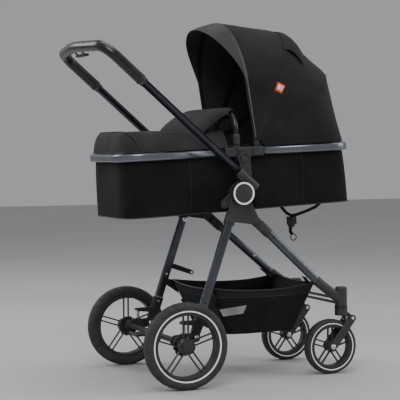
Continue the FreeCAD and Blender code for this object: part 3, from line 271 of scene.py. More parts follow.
def rounded_link(name, first, second, x0, x1, body, look="black"):
    """A flat bar with round ends, given as (y, z, radius), between two planes."""
    (y0, z0, r0), (y1, z1, r1) = first, second
    lean = math.atan2(z1 - z0, y1 - y0)
    open_angle = math.acos((r0 - r1) / math.hypot(y1 - y0, z1 - z0))
    outline = []
    for index in range(17):
        turn = lean + open_angle + (math.tau - 2 * open_angle) * index / 16
        outline.append((y0 + r0 * math.cos(turn), z0 + r0 * math.sin(turn)))
    for index in range(17):
        turn = lean - open_angle + 2 * open_angle * index / 16
        outline.append((y1 + r1 * math.cos(turn), z1 + r1 * math.sin(turn)))
    bm = bmesh.new()
    face = bm.faces.new([bm.verts.new((x0, y, z)) for y, z in outline])
    made = bmesh.ops.extrude_face_region(bm, geom=[face])["geom"]
    bmesh.ops.translate(bm, verts=[item for item in made if isinstance(item, bmesh.types.BMVert)],
                        vec=(x1 - x0, 0, 0))
    rims = [edge for edge in bm.edges if abs(edge.verts[0].co.x - edge.verts[1].co.x) < 0.01]
    bmesh.ops.bevel(bm, geom=rims, offset=1.2, segments=3, profile=0.5, affect="EDGES", material=-1)
    make_piece(name, bm, TO_FRAME, body, MATERIALS[look], (), 40.0)


def ripple(point, scale, depth, seed=0.0):
    """A soft repeatable unevenness of cloth."""
    return depth * noise.noise(Vector((point.x / scale + seed, point.y / scale, point.z / scale)))


def thickened(piece, thickness, offset=-1.0, levels=0):
    """Gives a cloth sheet its thickness, and rounds it off."""
    wall = piece.modifiers.new("Thickness", "SOLIDIFY")
    wall.thickness = thickness * MM
    wall.offset = offset
    wall.use_rim = True
    if levels:
        soft = piece.modifiers.new("Soft", "SUBSURF")
        soft.levels = levels
        soft.render_levels = levels
    return applied(piece)


# ---- materials ----------------------------------------------------------------------------------
def new_material(name):
    """An empty material: its shader joined to its output."""
    material = bpy.data.materials.new(name)
    material.use_nodes = True
    tree = material.node_tree
    tree.nodes.clear()
    output = tree.nodes.new("ShaderNodeOutputMaterial")
    shader = tree.nodes.new("ShaderNodeBsdfPrincipled")
    tree.links.new(shader.outputs["BSDF"], output.inputs["Surface"])
    return material, tree, shader


def spread(tree, source, dark, light, low=0.35, high=0.65):
    """A colour that varies between two, led by a pattern."""
    ramp = tree.nodes.new("ShaderNodeValToRGB")
    ramp.color_ramp.elements[0].position = low
    ramp.color_ramp.elements[1].position = high
    ramp.color_ramp.elements[0].color = (*dark, 1.0)
    ramp.color_ramp.elements[1].color = (*light, 1.0)
    tree.links.new(source, ramp.inputs["Fac"])
    return ramp.outputs["Color"]


def pattern(tree, kind, scale, coordinates, **settings):
    """A noise or cell pattern; a setting is a socket's value or the node's own option."""
    node = tree.nodes.new(kind)
    for key, value in settings.items():
        if key in node.inputs:
            node.inputs[key].default_value = value
        else:
            setattr(node, key, value)
    node.inputs["Scale"].default_value = scale
    tree.links.new(coordinates, node.inputs["Vector"])
    return node.outputs[0]


def map_range(tree, source, low, high):
    """A pattern's values, brought between two numbers."""
    node = tree.nodes.new("ShaderNodeMapRange")
    node.inputs["To Min"].default_value = low
    node.inputs["To Max"].default_value = high
    tree.links.new(source, node.inputs["Value"])
    return node.outputs["Result"]


def combined(tree, operation, first, second=None):
    """A sine, sum or product of values; the second is a number or another value."""
    node = tree.nodes.new("ShaderNodeMath")
    node.operation = operation
    tree.links.new(first, node.inputs[0])
    if isinstance(second, float):
        node.inputs[1].default_value = second
    elif second is not None:
        tree.links.new(second, node.inputs[1])
    return node.outputs[0]


def bumped(tree, shader, source, strength, distance, before=None):
    """Raises the surface by a pattern, over an earlier bump where there is one."""
    node = tree.nodes.new("ShaderNodeBump")
    node.inputs["Strength"].default_value = strength
    node.inputs["Distance"].default_value = distance
    tree.links.new(source, node.inputs["Height"])
    if before is not None:
        tree.links.new(before, node.inputs["Normal"])
    tree.links.new(node.outputs["Normal"], shader.inputs["Normal"])
    return node.outputs["Normal"]


def object_coordinates(tree, stretch=(1, 1, 1)):
    """Places on the object, drawn out along an axis where a finish runs that way."""
    place = tree.nodes.new("ShaderNodeTexCoord")
    mapping = tree.nodes.new("ShaderNodeMapping")
    mapping.inputs["Scale"].default_value = stretch
    tree.links.new(place.outputs["Object"], mapping.inputs["Vector"])
    return mapping.outputs["Vector"]


def metal(name, dark, light, roughness, stretch=(1, 1, 1), grain=900.0, depth=0.00002, metallic=1.0):
    """Drawn or plated metal: faint long grain, uneven sheen and light handling marks."""
    material, tree, shader = new_material(name)
    where = object_coordinates(tree, stretch)
    cloud = pattern(tree, "ShaderNodeTexNoise", 14.0, where, Detail=4.0)
    lines = pattern(tree, "ShaderNodeTexNoise", grain, where, Detail=2.0)
    tree.links.new(spread(tree, cloud, dark, light), shader.inputs["Base Color"])
    tree.links.new(map_range(tree, lines, roughness - 0.05, roughness + 0.07), shader.inputs["Roughness"])
    shader.inputs["Metallic"].default_value = metallic
    bumped(tree, shader, lines, 0.25, depth)
    return material


def plastic(name, dark, light, roughness, grain=1400.0, depth=0.00005, coat=0.0):
    """Moulded nylon: fine spark-eroded grain, and slightly paler rubbed places."""
    material, tree, shader = new_material(name)
    where = object_coordinates(tree)
    cloud = pattern(tree, "ShaderNodeTexNoise", 22.0, where, Detail=5.0)
    pits = pattern(tree, "ShaderNodeTexVoronoi", grain, where)
    tree.links.new(spread(tree, cloud, dark, light, 0.3, 0.75), shader.inputs["Base Color"])
    tree.links.new(map_range(tree, cloud, roughness - 0.06, roughness + 0.08), shader.inputs["Roughness"])
    shader.inputs["Coat Weight"].default_value = coat
    bumped(tree, shader, pits, 0.35, depth)
    return material


def rubber(name):
    """Tyre rubber: matt, faintly blotched and finely pitted."""
    material, tree, shader = new_material(name)
    where = object_coordinates(tree)
    cloud = pattern(tree, "ShaderNodeTexNoise", 30.0, where, Detail=6.0)
    fine = pattern(tree, "ShaderNodeTexNoise", 1100.0, where, Detail=3.0)
    colour = spread(tree, cloud, (0.022, 0.022, 0.024), (0.042, 0.041, 0.040))
    tree.links.new(colour, shader.inputs["Base Color"])
    tree.links.new(map_range(tree, cloud, 0.62, 0.85), shader.inputs["Roughness"])
    bumped(tree, shader, fine, 0.4, 0.00008)
    return material


def woven(name, dark, light, pitch=0.00115, roughness=0.85, sheen=0.25, melange=0.0):
    """Plain-woven polyester: a fine over-and-under weave, slubs and a soft sheen."""
    material, tree, shader = new_material(name)
    where = object_coordinates(tree)
    split = tree.nodes.new("ShaderNodeSeparateXYZ")
    tree.links.new(where, split.inputs["Vector"])
    waves = []
    for axis in "XYZ":
        stretched = combined(tree, "MULTIPLY", split.outputs[axis], math.tau / pitch)
        waves.append(combined(tree, "SINE", stretched))
    weave = combined(tree, "MULTIPLY", combined(tree, "ADD", waves[0], waves[1]), waves[2])
    slub = pattern(tree, "ShaderNodeTexNoise", 420.0, where, Detail=3.0)
    cloud = pattern(tree, "ShaderNodeTexNoise", 9.0, where, Detail=3.0)
    colour = spread(tree, slub if melange else cloud, dark, light, 0.38, 0.62)
    tree.links.new(colour, shader.inputs["Base Color"])
    uneven = map_range(tree, slub, roughness - 0.08, min(1.0, roughness + 0.08))
    tree.links.new(uneven, shader.inputs["Roughness"])
    shader.inputs["Sheen Weight"].default_value = sheen * 0.12
    shader.inputs["Sheen Roughness"].default_value = 0.45
    shader.inputs["Specular IOR Level"].default_value = 0.14
    first = bumped(tree, shader, weave, 0.5, 0.00012)
    bumped(tree, shader, slub, 0.3, 0.00012, first)
    return material


def leather(name):
    """Glossy leatherette with a fine pebble grain."""
    material, tree, shader = new_material(name)
    where = object_coordinates(tree)
    pebble = pattern(tree, "ShaderNodeTexVoronoi", 620.0, where, feature="SMOOTH_F1")
    cloud = pattern(tree, "ShaderNodeTexNoise", 26.0, where, Detail=4.0)
    colour = spread(tree, cloud, (0.008, 0.0075, 0.0075), (0.016, 0.0145, 0.014))
    tree.links.new(colour, shader.inputs["Base Color"])
    tree.links.new(map_range(tree, cloud, 0.22, 0.32), shader.inputs["Roughness"])
    shader.inputs["Coat Weight"].default_value = 0.06
    shader.inputs["Coat Roughness"].default_value = 0.3
    bumped(tree, shader, pebble, 0.12, 0.00004)
    return material


def reflective(name):
    """White reflective film with a fine honeycomb under a clear face, and a faint painted glow that stands in
    for its bright reflection.
    """
    material, tree, shader = new_material(name)
    where = object_coordinates(tree)
    cells = pattern(tree, "ShaderNodeTexVoronoi", 900.0, where)
    colour = spread(tree, cells, (0.80, 0.81, 0.82), (0.94, 0.94, 0.93), 0.1, 0.6)
    tree.links.new(colour, shader.inputs["Base Color"])
    shader.inputs["Roughness"].default_value = 0.3
    # Painted light: the film glows faintly white, standing in for the light it reflects back.
    shader.inputs["Emission Color"].default_value = (1.0, 1.0, 1.0, 1.0)
    shader.inputs["Emission Strength"].default_value = 0.12
    bumped(tree, shader, cells, 0.2, 0.00005)
    return material


MATERIALS = {}


def make_materials():
    """Mixes every finish from the colours in the panel."""
    looks = bpy.context.scene.stroller_looks
    tube = tuple(looks.tube_colour)
    cloth = tuple(looks.cloth_colour)
    pale = tuple(looks.visor_colour)
    body = tuple(looks.casting_colour)

    def scaled(colour, share):
        return tuple(min(1.0, part * share) for part in colour)

    MATERIALS.update({
        "tube": metal("Gunmetal anodised tube", scaled(tube, 0.85), scaled(tube, 1.15), 0.27, metallic=0.9),
        "rail": metal("Brushed bassinet rail", scaled(tube, 1.6), scaled(tube, 2.3), 0.27, (1, 0.06, 1),
                      1600.0, metallic=0.9),
        "casting": plastic("Dark grey moulding", scaled(body, 0.8), scaled(body, 1.2), 0.5),
        "wheel": plastic("Black wheel moulding", (0.016, 0.016, 0.018), (0.030, 0.030, 0.033), 0.42),
        "black": plastic("Black nylon", (0.010, 0.010, 0.011), (0.020, 0.020, 0.021), 0.5),
        "tyre": rubber("Tyre rubber"),
        "steel": metal("Bright zinc plate", (0.62, 0.62, 0.64), (0.78, 0.78, 0.79), 0.27),
        # The ring finish glows faintly: a painted reflection on the wheel and hub rings.
        "ring": reflective("White reflective ring"),
        "cloth": woven("Black cover cloth", scaled(cloth, 0.8), scaled(cloth, 1.2)),
        "canopy": woven("Charcoal canopy cloth", scaled(cloth, 1.5), scaled(cloth, 2.1), sheen=0.35),
        "pale": woven("Grey visor cloth", scaled(pale, 0.85), scaled(pale, 1.15), sheen=0.35),
        "apron": woven("Grey apron cloth", scaled(pale, 0.55), scaled(pale, 0.8), sheen=0.3),
        "lining": woven("Knitted lining", (0.024, 0.024, 0.024), (0.060, 0.060, 0.059), 0.0024, 0.95, 0.4,
                        1.0),
        "piping": woven("Light grey piping", (0.11, 0.11, 0.12), (0.17, 0.17, 0.18), 0.0009, 0.7),
        "thread": woven("Seam thread", (0.032, 0.032, 0.034), (0.055, 0.055, 0.058), 0.0006, 0.7),
        "webbing": woven("Ribbed webbing", (0.012, 0.012, 0.013), (0.024, 0.024, 0.025), 0.0018, 0.8),
        "net": woven("Pale net", (0.35, 0.35, 0.35), (0.55, 0.55, 0.54), 0.0008, 0.7),
        "leather": leather("Black leatherette"),
        "red": woven("Red label cloth", (0.72, 0.07, 0.02), (0.85, 0.11, 0.03), 0.0006, 0.7, 0.1),
        "white": woven("White label cloth", (0.78, 0.78, 0.77), (0.88, 0.88, 0.87), 0.0006, 0.7, 0.1),
    })


# ---- wheels -------------------------------------------------------------------------------------
def tyre_profile(radius, inner, half):
    """A tyre's section as (x, radius) points, once round."""
    wall = radius - inner
    shares = ((-0.58, 0.0), (-0.82, 0.07), (-0.97, 0.25), (-1.0, 0.50), (-0.94, 0.73), (-0.76, 0.88),
              (-0.42, 0.955), (0.0, 0.97), (0.42, 0.955), (0.76, 0.88), (0.94, 0.73), (1.0, 0.50),
              (0.97, 0.25), (0.82, 0.07), (0.58, 0.0), (-0.58, 0.0))
    return [(x * half, inner + share * wall) for x, share in shares]


def make_tyre(name, centre, radius, inner, width, steps, node, body):
    """A rubber tyre with slanting tread blocks over its crown and shoulders."""
    bm = bmesh.new()
    profile = tyre_profile(radius, inner, width / 2)
    verts, edges = chain(bm, [(x, 0.0, r) for x, r in profile])
    bmesh.ops.spin(bm, geom=verts + edges, cent=(0, 0, 0), axis=(1, 0, 0), angle=math.tau, steps=steps,
                   use_merge=True)
    bmesh.ops.remove_doubles(bm, verts=bm.verts, dist=0.01)
    bmesh.ops.recalc_face_normals(bm, faces=bm.faces)
    blocks = []
    for face in bm.faces:
        at = face.calc_center_median()
        if math.hypot(at.y, at.z) < inner + 0.6 * (radius - inner):
            continue
        turn = math.floor((math.atan2(at.y, at.z) % math.tau) / math.tau * steps + 0.01)
        row = round(abs(at.x) / (width / 6))
        if (turn + row) % 4:
            blocks.append(face)
    bmesh.ops.inset_region(bm, faces=blocks, thickness=radius * 0.006, depth=radius * 0.011,
                           use_even_offset=True)
    bmesh.ops.translate(bm, verts=bm.verts, vec=centre)
    return make_piece(name, bm, TO_FRAME, body, MATERIALS["tyre"], [node])


def make_rear_wheels():
    """Rear wheels: tyres, rims with their lips, reflective rings and hub caps."""
    for side, sign in SIDES:
        body = "rear_wheel_" + side
        centre = Vector(JOINTS["rear_wheel_spin_" + side]["pos_m"]) / MM
        make_tyre("rear_tyre_rubber_" + side, centre, 135.0, 104.0, 41.6, 112, "rear_tyre_" + side, body)
        moulded("rear_rim_" + side, MATERIALS["wheel"], 1.7, 3)
        moulded("brake_gear_" + side, MATERIALS["black"], 1.3, 2)
        ring = [(17.2, 106.6), (20.4, 106.9), (21.1, 108.7), (21.0, 110.5), (19.0, 110.9), (17.2, 106.6)]
        turned("rear_wheel_ring_" + side, ring, centre, body, MATERIALS["ring"], 96, side=sign)
        lip = [(15.0, 95.5), (17.6, 96.2), (18.8, 98.5), (19.0, 103.5), (18.4, 106.0), (15.5, 106.4),
               (15.0, 95.5)]
        for name, flip in (("outer", sign), ("inner", -sign)):
            turned("rear_rim_lip_%s_%s" % (name, side), lip, centre, body, MATERIALS["wheel"], 96,
                   side=flip)
        cap = [(17.0, 24.6), (20.2, 24.6), (21.0, 23.8), (21.0, 20.6), (20.3, 20.0), (20.3, 18.8),
               (22.2, 18.2), (23.4, 15.0), (24.0, 8.0), (24.2, 0.0)]
        turned("rear_hub_cap_" + side, cap, centre, body, MATERIALS["wheel"], 48, side=sign)


def make_front_wheels():
    """Front wheels: tyres and rims, with a lip and a reflective ring on each face."""
    ring = [(13.8, 74.2), (16.6, 74.5), (17.3, 75.9), (17.1, 77.4), (15.6, 77.8), (13.8, 74.2)]
    lip = [(12.0, 62.5), (14.2, 63.2), (15.3, 65.5), (15.4, 72.0), (14.6, 74.0), (12.2, 74.2), (12.0, 62.5)]
    for side, sign in SIDES:
        body = "front_wheel_" + side
        centre = Vector(JOINTS["front_wheel_spin_" + side]["pos_m"]) / MM
        make_tyre("front_tyre_rubber_" + side, centre, 89.8, 70.0, 34.6, 80, "front_tyre_" + side, body)
        moulded("front_rim_" + side, MATERIALS["wheel"], 1.4, 3)
        for name, flip in (("outer", sign), ("inner", -sign)):
            turned("front_wheel_ring_%s_%s" % (name, side), ring, centre, body,
                   MATERIALS["ring"], 80, side=flip)
            turned("front_rim_lip_%s_%s" % (name, side), lip, centre, body, MATERIALS["wheel"], 80,
                   side=flip)


# ---- screws, springs and castings ---------------------------------------------------------------
def screw(name, centre, direction, radius, body, material="steel", height=2.2):
    """A domed socket screw, its head standing along a direction."""
    recess = radius * 0.45
    turned(name, [(-1.0, radius * 0.96), (height * 0.45, radius), (height * 0.85, radius * 0.8),
                  (height, radius * 0.62), (height, recess), (height * 0.3, recess * 0.9),
                  (height * 0.3, 0.0)], centre, body, MATERIALS[material], 24, lean=direction)


def between(start, end, distance):
    """The point a distance along from one point towards another."""
    start, end = Vector(start), Vector(end)
    return start + (end - start).normalized() * distance


def rear_leg_line(sign):
    """A rear leg's middle line, as its top and its foot."""
    top = Vector((sign * 204.0, SHIFT - 191.5, 538.0))
    foot = Vector((sign * 204.0, SHIFT - 76.0, 197.0))
    return top, foot


def front_leg_line(sign):
    """A front leg's middle line, as its top and its foot."""
    top = Vector((sign * 205.0, SHIFT - 284.0, 500.0))
    foot = Vector((sign * 175.5, SHIFT - 521.0, 289.0))
    return top, foot


def oval_loop(centre, along, depth, width):
    """A closed loop of flat oval section round a leg."""
    along = Vector(along).normalized()
    across = Vector((1, 0, 0))
    across = (across - along * across.dot(along)).normalized()
    deep = along.cross(across)
    half = depth / 2 - width / 2
    points = []
    for centre_shift, start in ((half, 0.0), (-half, math.pi)):
        for index in range(9):
            angle = start + math.pi * index / 8
            points.append(Vector(centre) + across * (math.cos(angle) * width / 2)
                          + deep * (math.sin(angle) * width / 2 + centre_shift))
    return points


def make_castings():
    """Every moulded joint of the frame, with softened edges."""
    black, grey = MATERIALS["black"], MATERIALS["casting"]
    for node in ("hub_castings", "handle_casting_left", "handle_casting_right", "seat_adaptors"):
        moulded(node, grey, 1.3, 4)
    for node in ("rear_feet", "front_brackets", "front_elbows", "caster_left", "caster_right", "fork_left",
                 "fork_right", "brake_pedal", "fold_trigger", "storage_latch"):
        moulded(node, grey if "front" in node or "fork" in node or "caster" in node else black, 1.2, 3)
    moulded("seat_hubs", grey, 1.2, 4)
    moulded("canopy_mounts", black, 0.9, 2)


def make_frame_screws(side, sign):
    """Screws, link and catch on the hub and the rear leg."""
    out = (sign, 0, 0)
    inward = (-sign, 0, 0)
    link_foot = (SHIFT - 164.0, 566.0)
    screw("ear_screw_" + side, (sign * 213.6, EAR.y, EAR.z), out, 6.5, "frame", "tube", 1.5)
    screw("link_screw_" + side, (sign * 212.8, *link_foot), out, 6.5, "frame", "casting", 2.0)
    rounded_link("hub_link_" + side, (HUB.y, HUB.z, 22.0), (*link_foot, 14.5), sign * 204.0, sign * 213.0,
                 "frame")
    screw("foot_pivot_" + side, (sign * 228.0, REAR_PIVOT.y, REAR_PIVOT.z), out, 7.0, "frame")
    screw("foot_pivot_inner_" + side, (sign * 198.2, REAR_PIVOT.y, REAR_PIVOT.z), inward, 7.0, "frame")
    top, foot = rear_leg_line(sign)
    low = between(foot, top, 30.0)
    screw("foot_screw_inner_" + side, (sign * 192.6, low.y, low.z), inward, 3.4, "frame")
    rounded_link("leg_catch_" + side, (SHIFT - 194.0, 504.0, 8.0), (SHIFT - 180.0, 500.0, 8.0),
                 sign * 182.0, sign * 194.0, "frame", "steel")
    tab = between(top, foot, 235.0)
    screw("tab_screw_" + side, (sign * 195.6, tab.y, tab.z), inward, 4.0, "frame")


def make_front_screws(side, sign):
    """Screws of the front leg and of the sprung fork, and the collar over the caster."""
    top, foot = front_leg_line(sign)
    middle = between(top, foot, 200.0)
    screw("front_leg_screw_" + side, (middle.x - sign * 10.2, middle.y, middle.z), (-sign, 0, 0), 4.6,
          "front_frame")
    upper = between(top, foot, 66.0)
    screw("front_leg_pin_" + side, (upper.x + sign * 9.6, upper.y, upper.z), (sign, 0, 0), 4.4, "front_frame",
          "black")
    fork = JOINTS["fork_spring_" + side]["pos_m"]
    axle = JOINTS["front_wheel_spin_" + side]["pos_m"]
    for name, flip in (("outer", sign), ("inner", -sign)):
        direction = (flip, 0, 0)
        place = Vector(axle) / MM + Vector(direction) * 25.2
        screw("fork_axle_%s_%s" % (name, side), place, direction, 8.2, "fork_" + side, height=3.4)
        place = Vector(fork) / MM + Vector(direction) * 25.2
        screw("fork_pivot_%s_%s" % (name, side), place, direction, 5.0, "fork_" + side)
    turned("caster_collar_" + side, [(-1.8, 18.0), (-1.8, 21.8), (1.8, 21.8), (1.8, 18.0)],
           (sign * 171.5, SHIFT - 593.0, 219.0), "front_frame", MATERIALS["black"], 40,
           lean=(0, 0, 1))


def make_caps(side, sign):
    """Hub cap, its border, and the seat's release button in its groove."""
    grey = MATERIALS["casting"]
    hub = (sign * 245.0, HUB.y, HUB.z)
    cap = [(-1.0, 30.4), (1.2, 30.4), (1.8, 29.0), (2.6, 22.0), (3.2, 10.0), (3.4, 0.0)]
    turned("hub_cap_" + side, cap, hub, "handle", grey, 56, side=sign)
    border = [(0.0, 35.4), (2.4, 35.6), (3.3, 36.4), (2.6, 37.3), (0.0, 37.4)]
    turned("hub_border_" + side, border, hub, "handle", MATERIALS["black"], 56, side=sign)
    socket = (sign * 212.6, SEAT_PIVOT.y / MM, SEAT_PIVOT.z / MM)
    button = [(-5.0, 13.8), (1.0, 13.8), (1.8, 13.1), (1.9, 11.6), (1.2, 11.1), (1.2, 10.3), (1.9, 9.8),
              (2.3, 6.0), (2.4, 0.0)]
    turned("seat_button_cap_" + side, button, socket, "button_" + side, grey, 48, side=sign,
           replaces=["seat_button_" + side])
    groove = [(-1.0, 20.9), (0.7, 20.9), (1.5, 20.0), (1.5, 16.2), (0.6, 15.4), (-1.0, 15.2)]
    turned("seat_button_groove_" + side, groove, socket, "seat_base", grey, 48, side=sign)


def make_collars(side, sign):
    """The plated collar round a leg's foot and the moulded one near its top."""
    top, foot = rear_leg_line(sign)
    swept("foot_collar_" + side, oval_loop(between(foot, top, 43.0), foot - top, 37.6, 23.6), 1.8, "frame",
          MATERIALS["steel"], closed=True)
    swept("leg_collar_" + side, oval_loop(between(top, foot, 37.0), foot - top, 37.0, 23.0), 1.3, "frame",
          MATERIALS["casting"], closed=True)


def make_screws():
    """Every screw, cap and collar, one side after the other."""
    for side, sign in SIDES:
        make_frame_screws(side, sign)
        make_front_screws(side, sign)
        make_caps(side, sign)
        make_collars(side, sign)


def coil(name, x, y, low, high, radius, wire, turns, body):
    """A coil spring standing on end, with a rod inside."""
    count = turns * 14
    line = [Vector((x + radius * math.cos(math.tau * turns * i / count),
                    y + radius * math.sin(math.tau * turns * i / count),
                    low + wire + (high - low - 2 * wire) * i / count)) for i in range(count + 1)]
    swept(name, line, wire, body, MATERIALS["steel"], sides=8)
    swept(name + "_rod", [Vector((x, y, low)), Vector((x, y, high))], radius * 0.42, body,
          MATERIALS["black"])


def make_springs():
    """Coils over the rear feet, and a pair in each front fork."""
    for side, sign in SIDES:
        coil("rear_coil_" + side, sign * 219.5, SHIFT - 20.0, 165.0, 194.0, 5.2, 1.1, 6, "frame")
        low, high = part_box("front_spring_" + side)
        y = (low.y + high.y) / 2 / MM
        width = (high.x - low.x) / MM
        middle = (high.x + low.x) / 2 / MM
        for name, shift in (("a", -1), ("b", 1)):
            x = middle + shift * (width / 2 - 4.4)
            coil("front_coil_%s_%s" % (name, side), x, y, low.z / MM, high.z / MM, 3.5, 0.8, 4,
                 "caster_" + side)
        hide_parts("front_spring_" + side)
    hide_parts("rear_springs")


# ---- tubes and handle ---------------------------------------------------------------------------
def make_tubes():
    """Tubes, rails, bows and rings keep their shapes and get their finishes."""
    tube, rail, black = MATERIALS["tube"], MATERIALS["rail"], MATERIALS["black"]
    for node in ("rear_leg_left", "rear_leg_right", "front_leg_left", "front_leg_right", "handle_tube_left",
                 "handle_tube_right", "handle_bar", "front_crossbars"):
        polished(node, tube)
    polished("rear_axle_beam", black)
    polished("head_rail", rail)
    polished("foot_rail", rail)
    for node in ("canopy_bow_front", "canopy_bow_mid", "canopy_bow_rear"):
        polished(node, black)
    # The hub rings take the ring finish with its faint painted glow.
    polished("hub_rings", MATERIALS["ring"])
    polished("frame_screws", MATERIALS["casting"])


ALONG = Vector((0.0, math.cos(math.radians(41.4)), math.sin(math.radians(41.4))))


def along_handle(distance, sign=1):
    """A point of a handle tube's middle line, measured up from the hub."""
    return Vector((sign * 228.6, SHIFT - 244.061, 633.530)) + ALONG * distance


def grip_line():
    """The grip's middle line: up one tube, across in a shallow bow, and down the other."""
    corner = along_handle(639.0)
    middle = Vector((0.0, corner.y + 31.0, corner.z + 9.0))
    flip = Vector((-1, 1, 1))
    points = [along_handle(481.3), corner, middle, corner * flip, along_handle(481.3, -1)]
    return bend_line(points, [55.0, 400.0, 55.0], 6.0)


def make_grip():
    """The leatherette handle: sleeve, seam and end collars."""
    leather_look = MATERIALS["leather"]
    polished("handle_grip", leather_look)
    line = grip_line()
    inward = []
    for index, point in enumerate(line):
        before, after = line[max(0, index - 1)], line[min(len(line) - 1, index + 1)]
        along = (after - before).normalized()
        flat = Vector((0, -ALONG.z, ALONG.y))
        inward.append(along.cross(flat).normalized())
    if inward[0].x > 0:
        inward = [-way for way in inward]
    seam = [point + way * 17.0 for point, way in zip(line, inward)]
    swept("grip_seam", seam, 0.7, "grip", MATERIALS["thread"], sides=8)
    for side, sign in SIDES:
        collar = [(0.0, 12.8), (0.0, 17.3), (0.8, 17.9), (3.4, 17.9), (4.2, 17.2), (5.2, 17.2), (6.0, 17.8),
                  (8.2, 17.8), (9.0, 16.8)]
        turned("grip_collar_" + side, collar, along_handle(481.4, sign), "grip",
               MATERIALS["black"], 40, lean=ALONG)
        turned("tube_collar_" + side, [(-9.0, 12.6), (-8.4, 14.0), (-1.5, 14.4), (-0.6, 14.0), (-0.4, 12.4)],
               along_handle(481.0, sign), "handle", MATERIALS["black"], 40, lean=ALONG)


# ---- bassinet -----------------------------------------------------------------------------------
def outline_rows(bm, rows, cuts_x=16, cuts_y=40, segments=8):
    """Stacks rounded outlines and joins each to the next. A row is (half, y0, y1, corner0, corner1, z)."""
    loops = []
    for half, y0, y1, corner0, corner1, height in rows:
        scratch = bmesh.new()
        rounded_face(scratch, half, y0, y1, corner0, corner1, segments)
        scratch.faces.ensure_lookup_table()
        corners = [vert.co.copy() for vert in scratch.faces[0].verts]
        scratch.free()
        points = []
        for here, there in zip(corners, corners[1:] + corners[:1]):
            run = there - here
            if abs(run.x) > 40.0 and abs(run.y) < 1.0:
                cuts = cuts_x
            elif abs(run.y) > 40.0 and abs(run.x) < 1.0:
                cuts = cuts_y
            else:
                cuts = 1
            points += [here + run * (index / cuts) for index in range(cuts)]
        start = max(range(len(points)), key=lambda i: (round(points[i].y, 1), points[i].x))
        points = points[start:] + points[:start]
        verts = [bm.verts.new((point.x, point.y, height)) for point in points]
        loops.append([bm.edges.new(pair) for pair in zip(verts, verts[1:] + verts[:1])])
    for lower, upper in zip(loops, loops[1:]):
        bmesh.ops.bridge_loops(bm, edges=lower + upper)
    return loops


def outline_points(row, cuts_x, cuts_y, segments):
    """The points once round a single outline."""
    scratch = bmesh.new()
    outline_rows(scratch, [row], cuts_x, cuts_y, segments)
    points = [vert.co.copy() for vert in scratch.verts]
    scratch.free()
    return points


def tub_row(height, inset=0.0, swell=0.0):
    """An outline of the tub at a height, between its top at 30 and its bottom at -162."""
    share = (height + 162.0) / 192.0
    half = 178.5 + 3.0 * share - inset + swell
    head = 13.5 + 3.5 * share - HEAD_LENGTH + inset - swell
    foot = FOOT_LENGTH - 13.5 - 3.5 * share - inset + swell
    return (half, head, foot, 25.0 + 36.0 * share - inset, 72.0 + 3.0 * share - inset, height)


def tub_shape(place):
    """Lets the cover hang a little deeper towards the foot end."""
    at = place.copy()
    along = min(1.0, max(0.0, (at.y + HEAD_LENGTH) / (HEAD_LENGTH + FOOT_LENGTH)))
    at.z -= 8.5 * along * min(1.0, max(0.0, -at.z / 150.0))
    return at


def tub_swell(height):
    """How far the cover bellies out at a height below its rail."""
    return 2.4 * math.sin(math.pi * (28.0 - height) / 189.0)


def crease(bm, depth, scale):
    """Gives cloth its soft unevenness: along its own normals, taller folds near the corners."""
    bm.normal_update()
    moves = []
    for vert in bm.verts:
        at = vert.co
        soft = ripple(at, scale, depth, 3.0)
        folds = noise.noise(Vector((at.x / 17.0, at.y / 17.0, at.z / 150.0 + 7.0))) * depth * 0.55
        moves.append(vert.normal * (soft + folds))
    for vert, move in zip(bm.verts, moves):
        vert.co += move


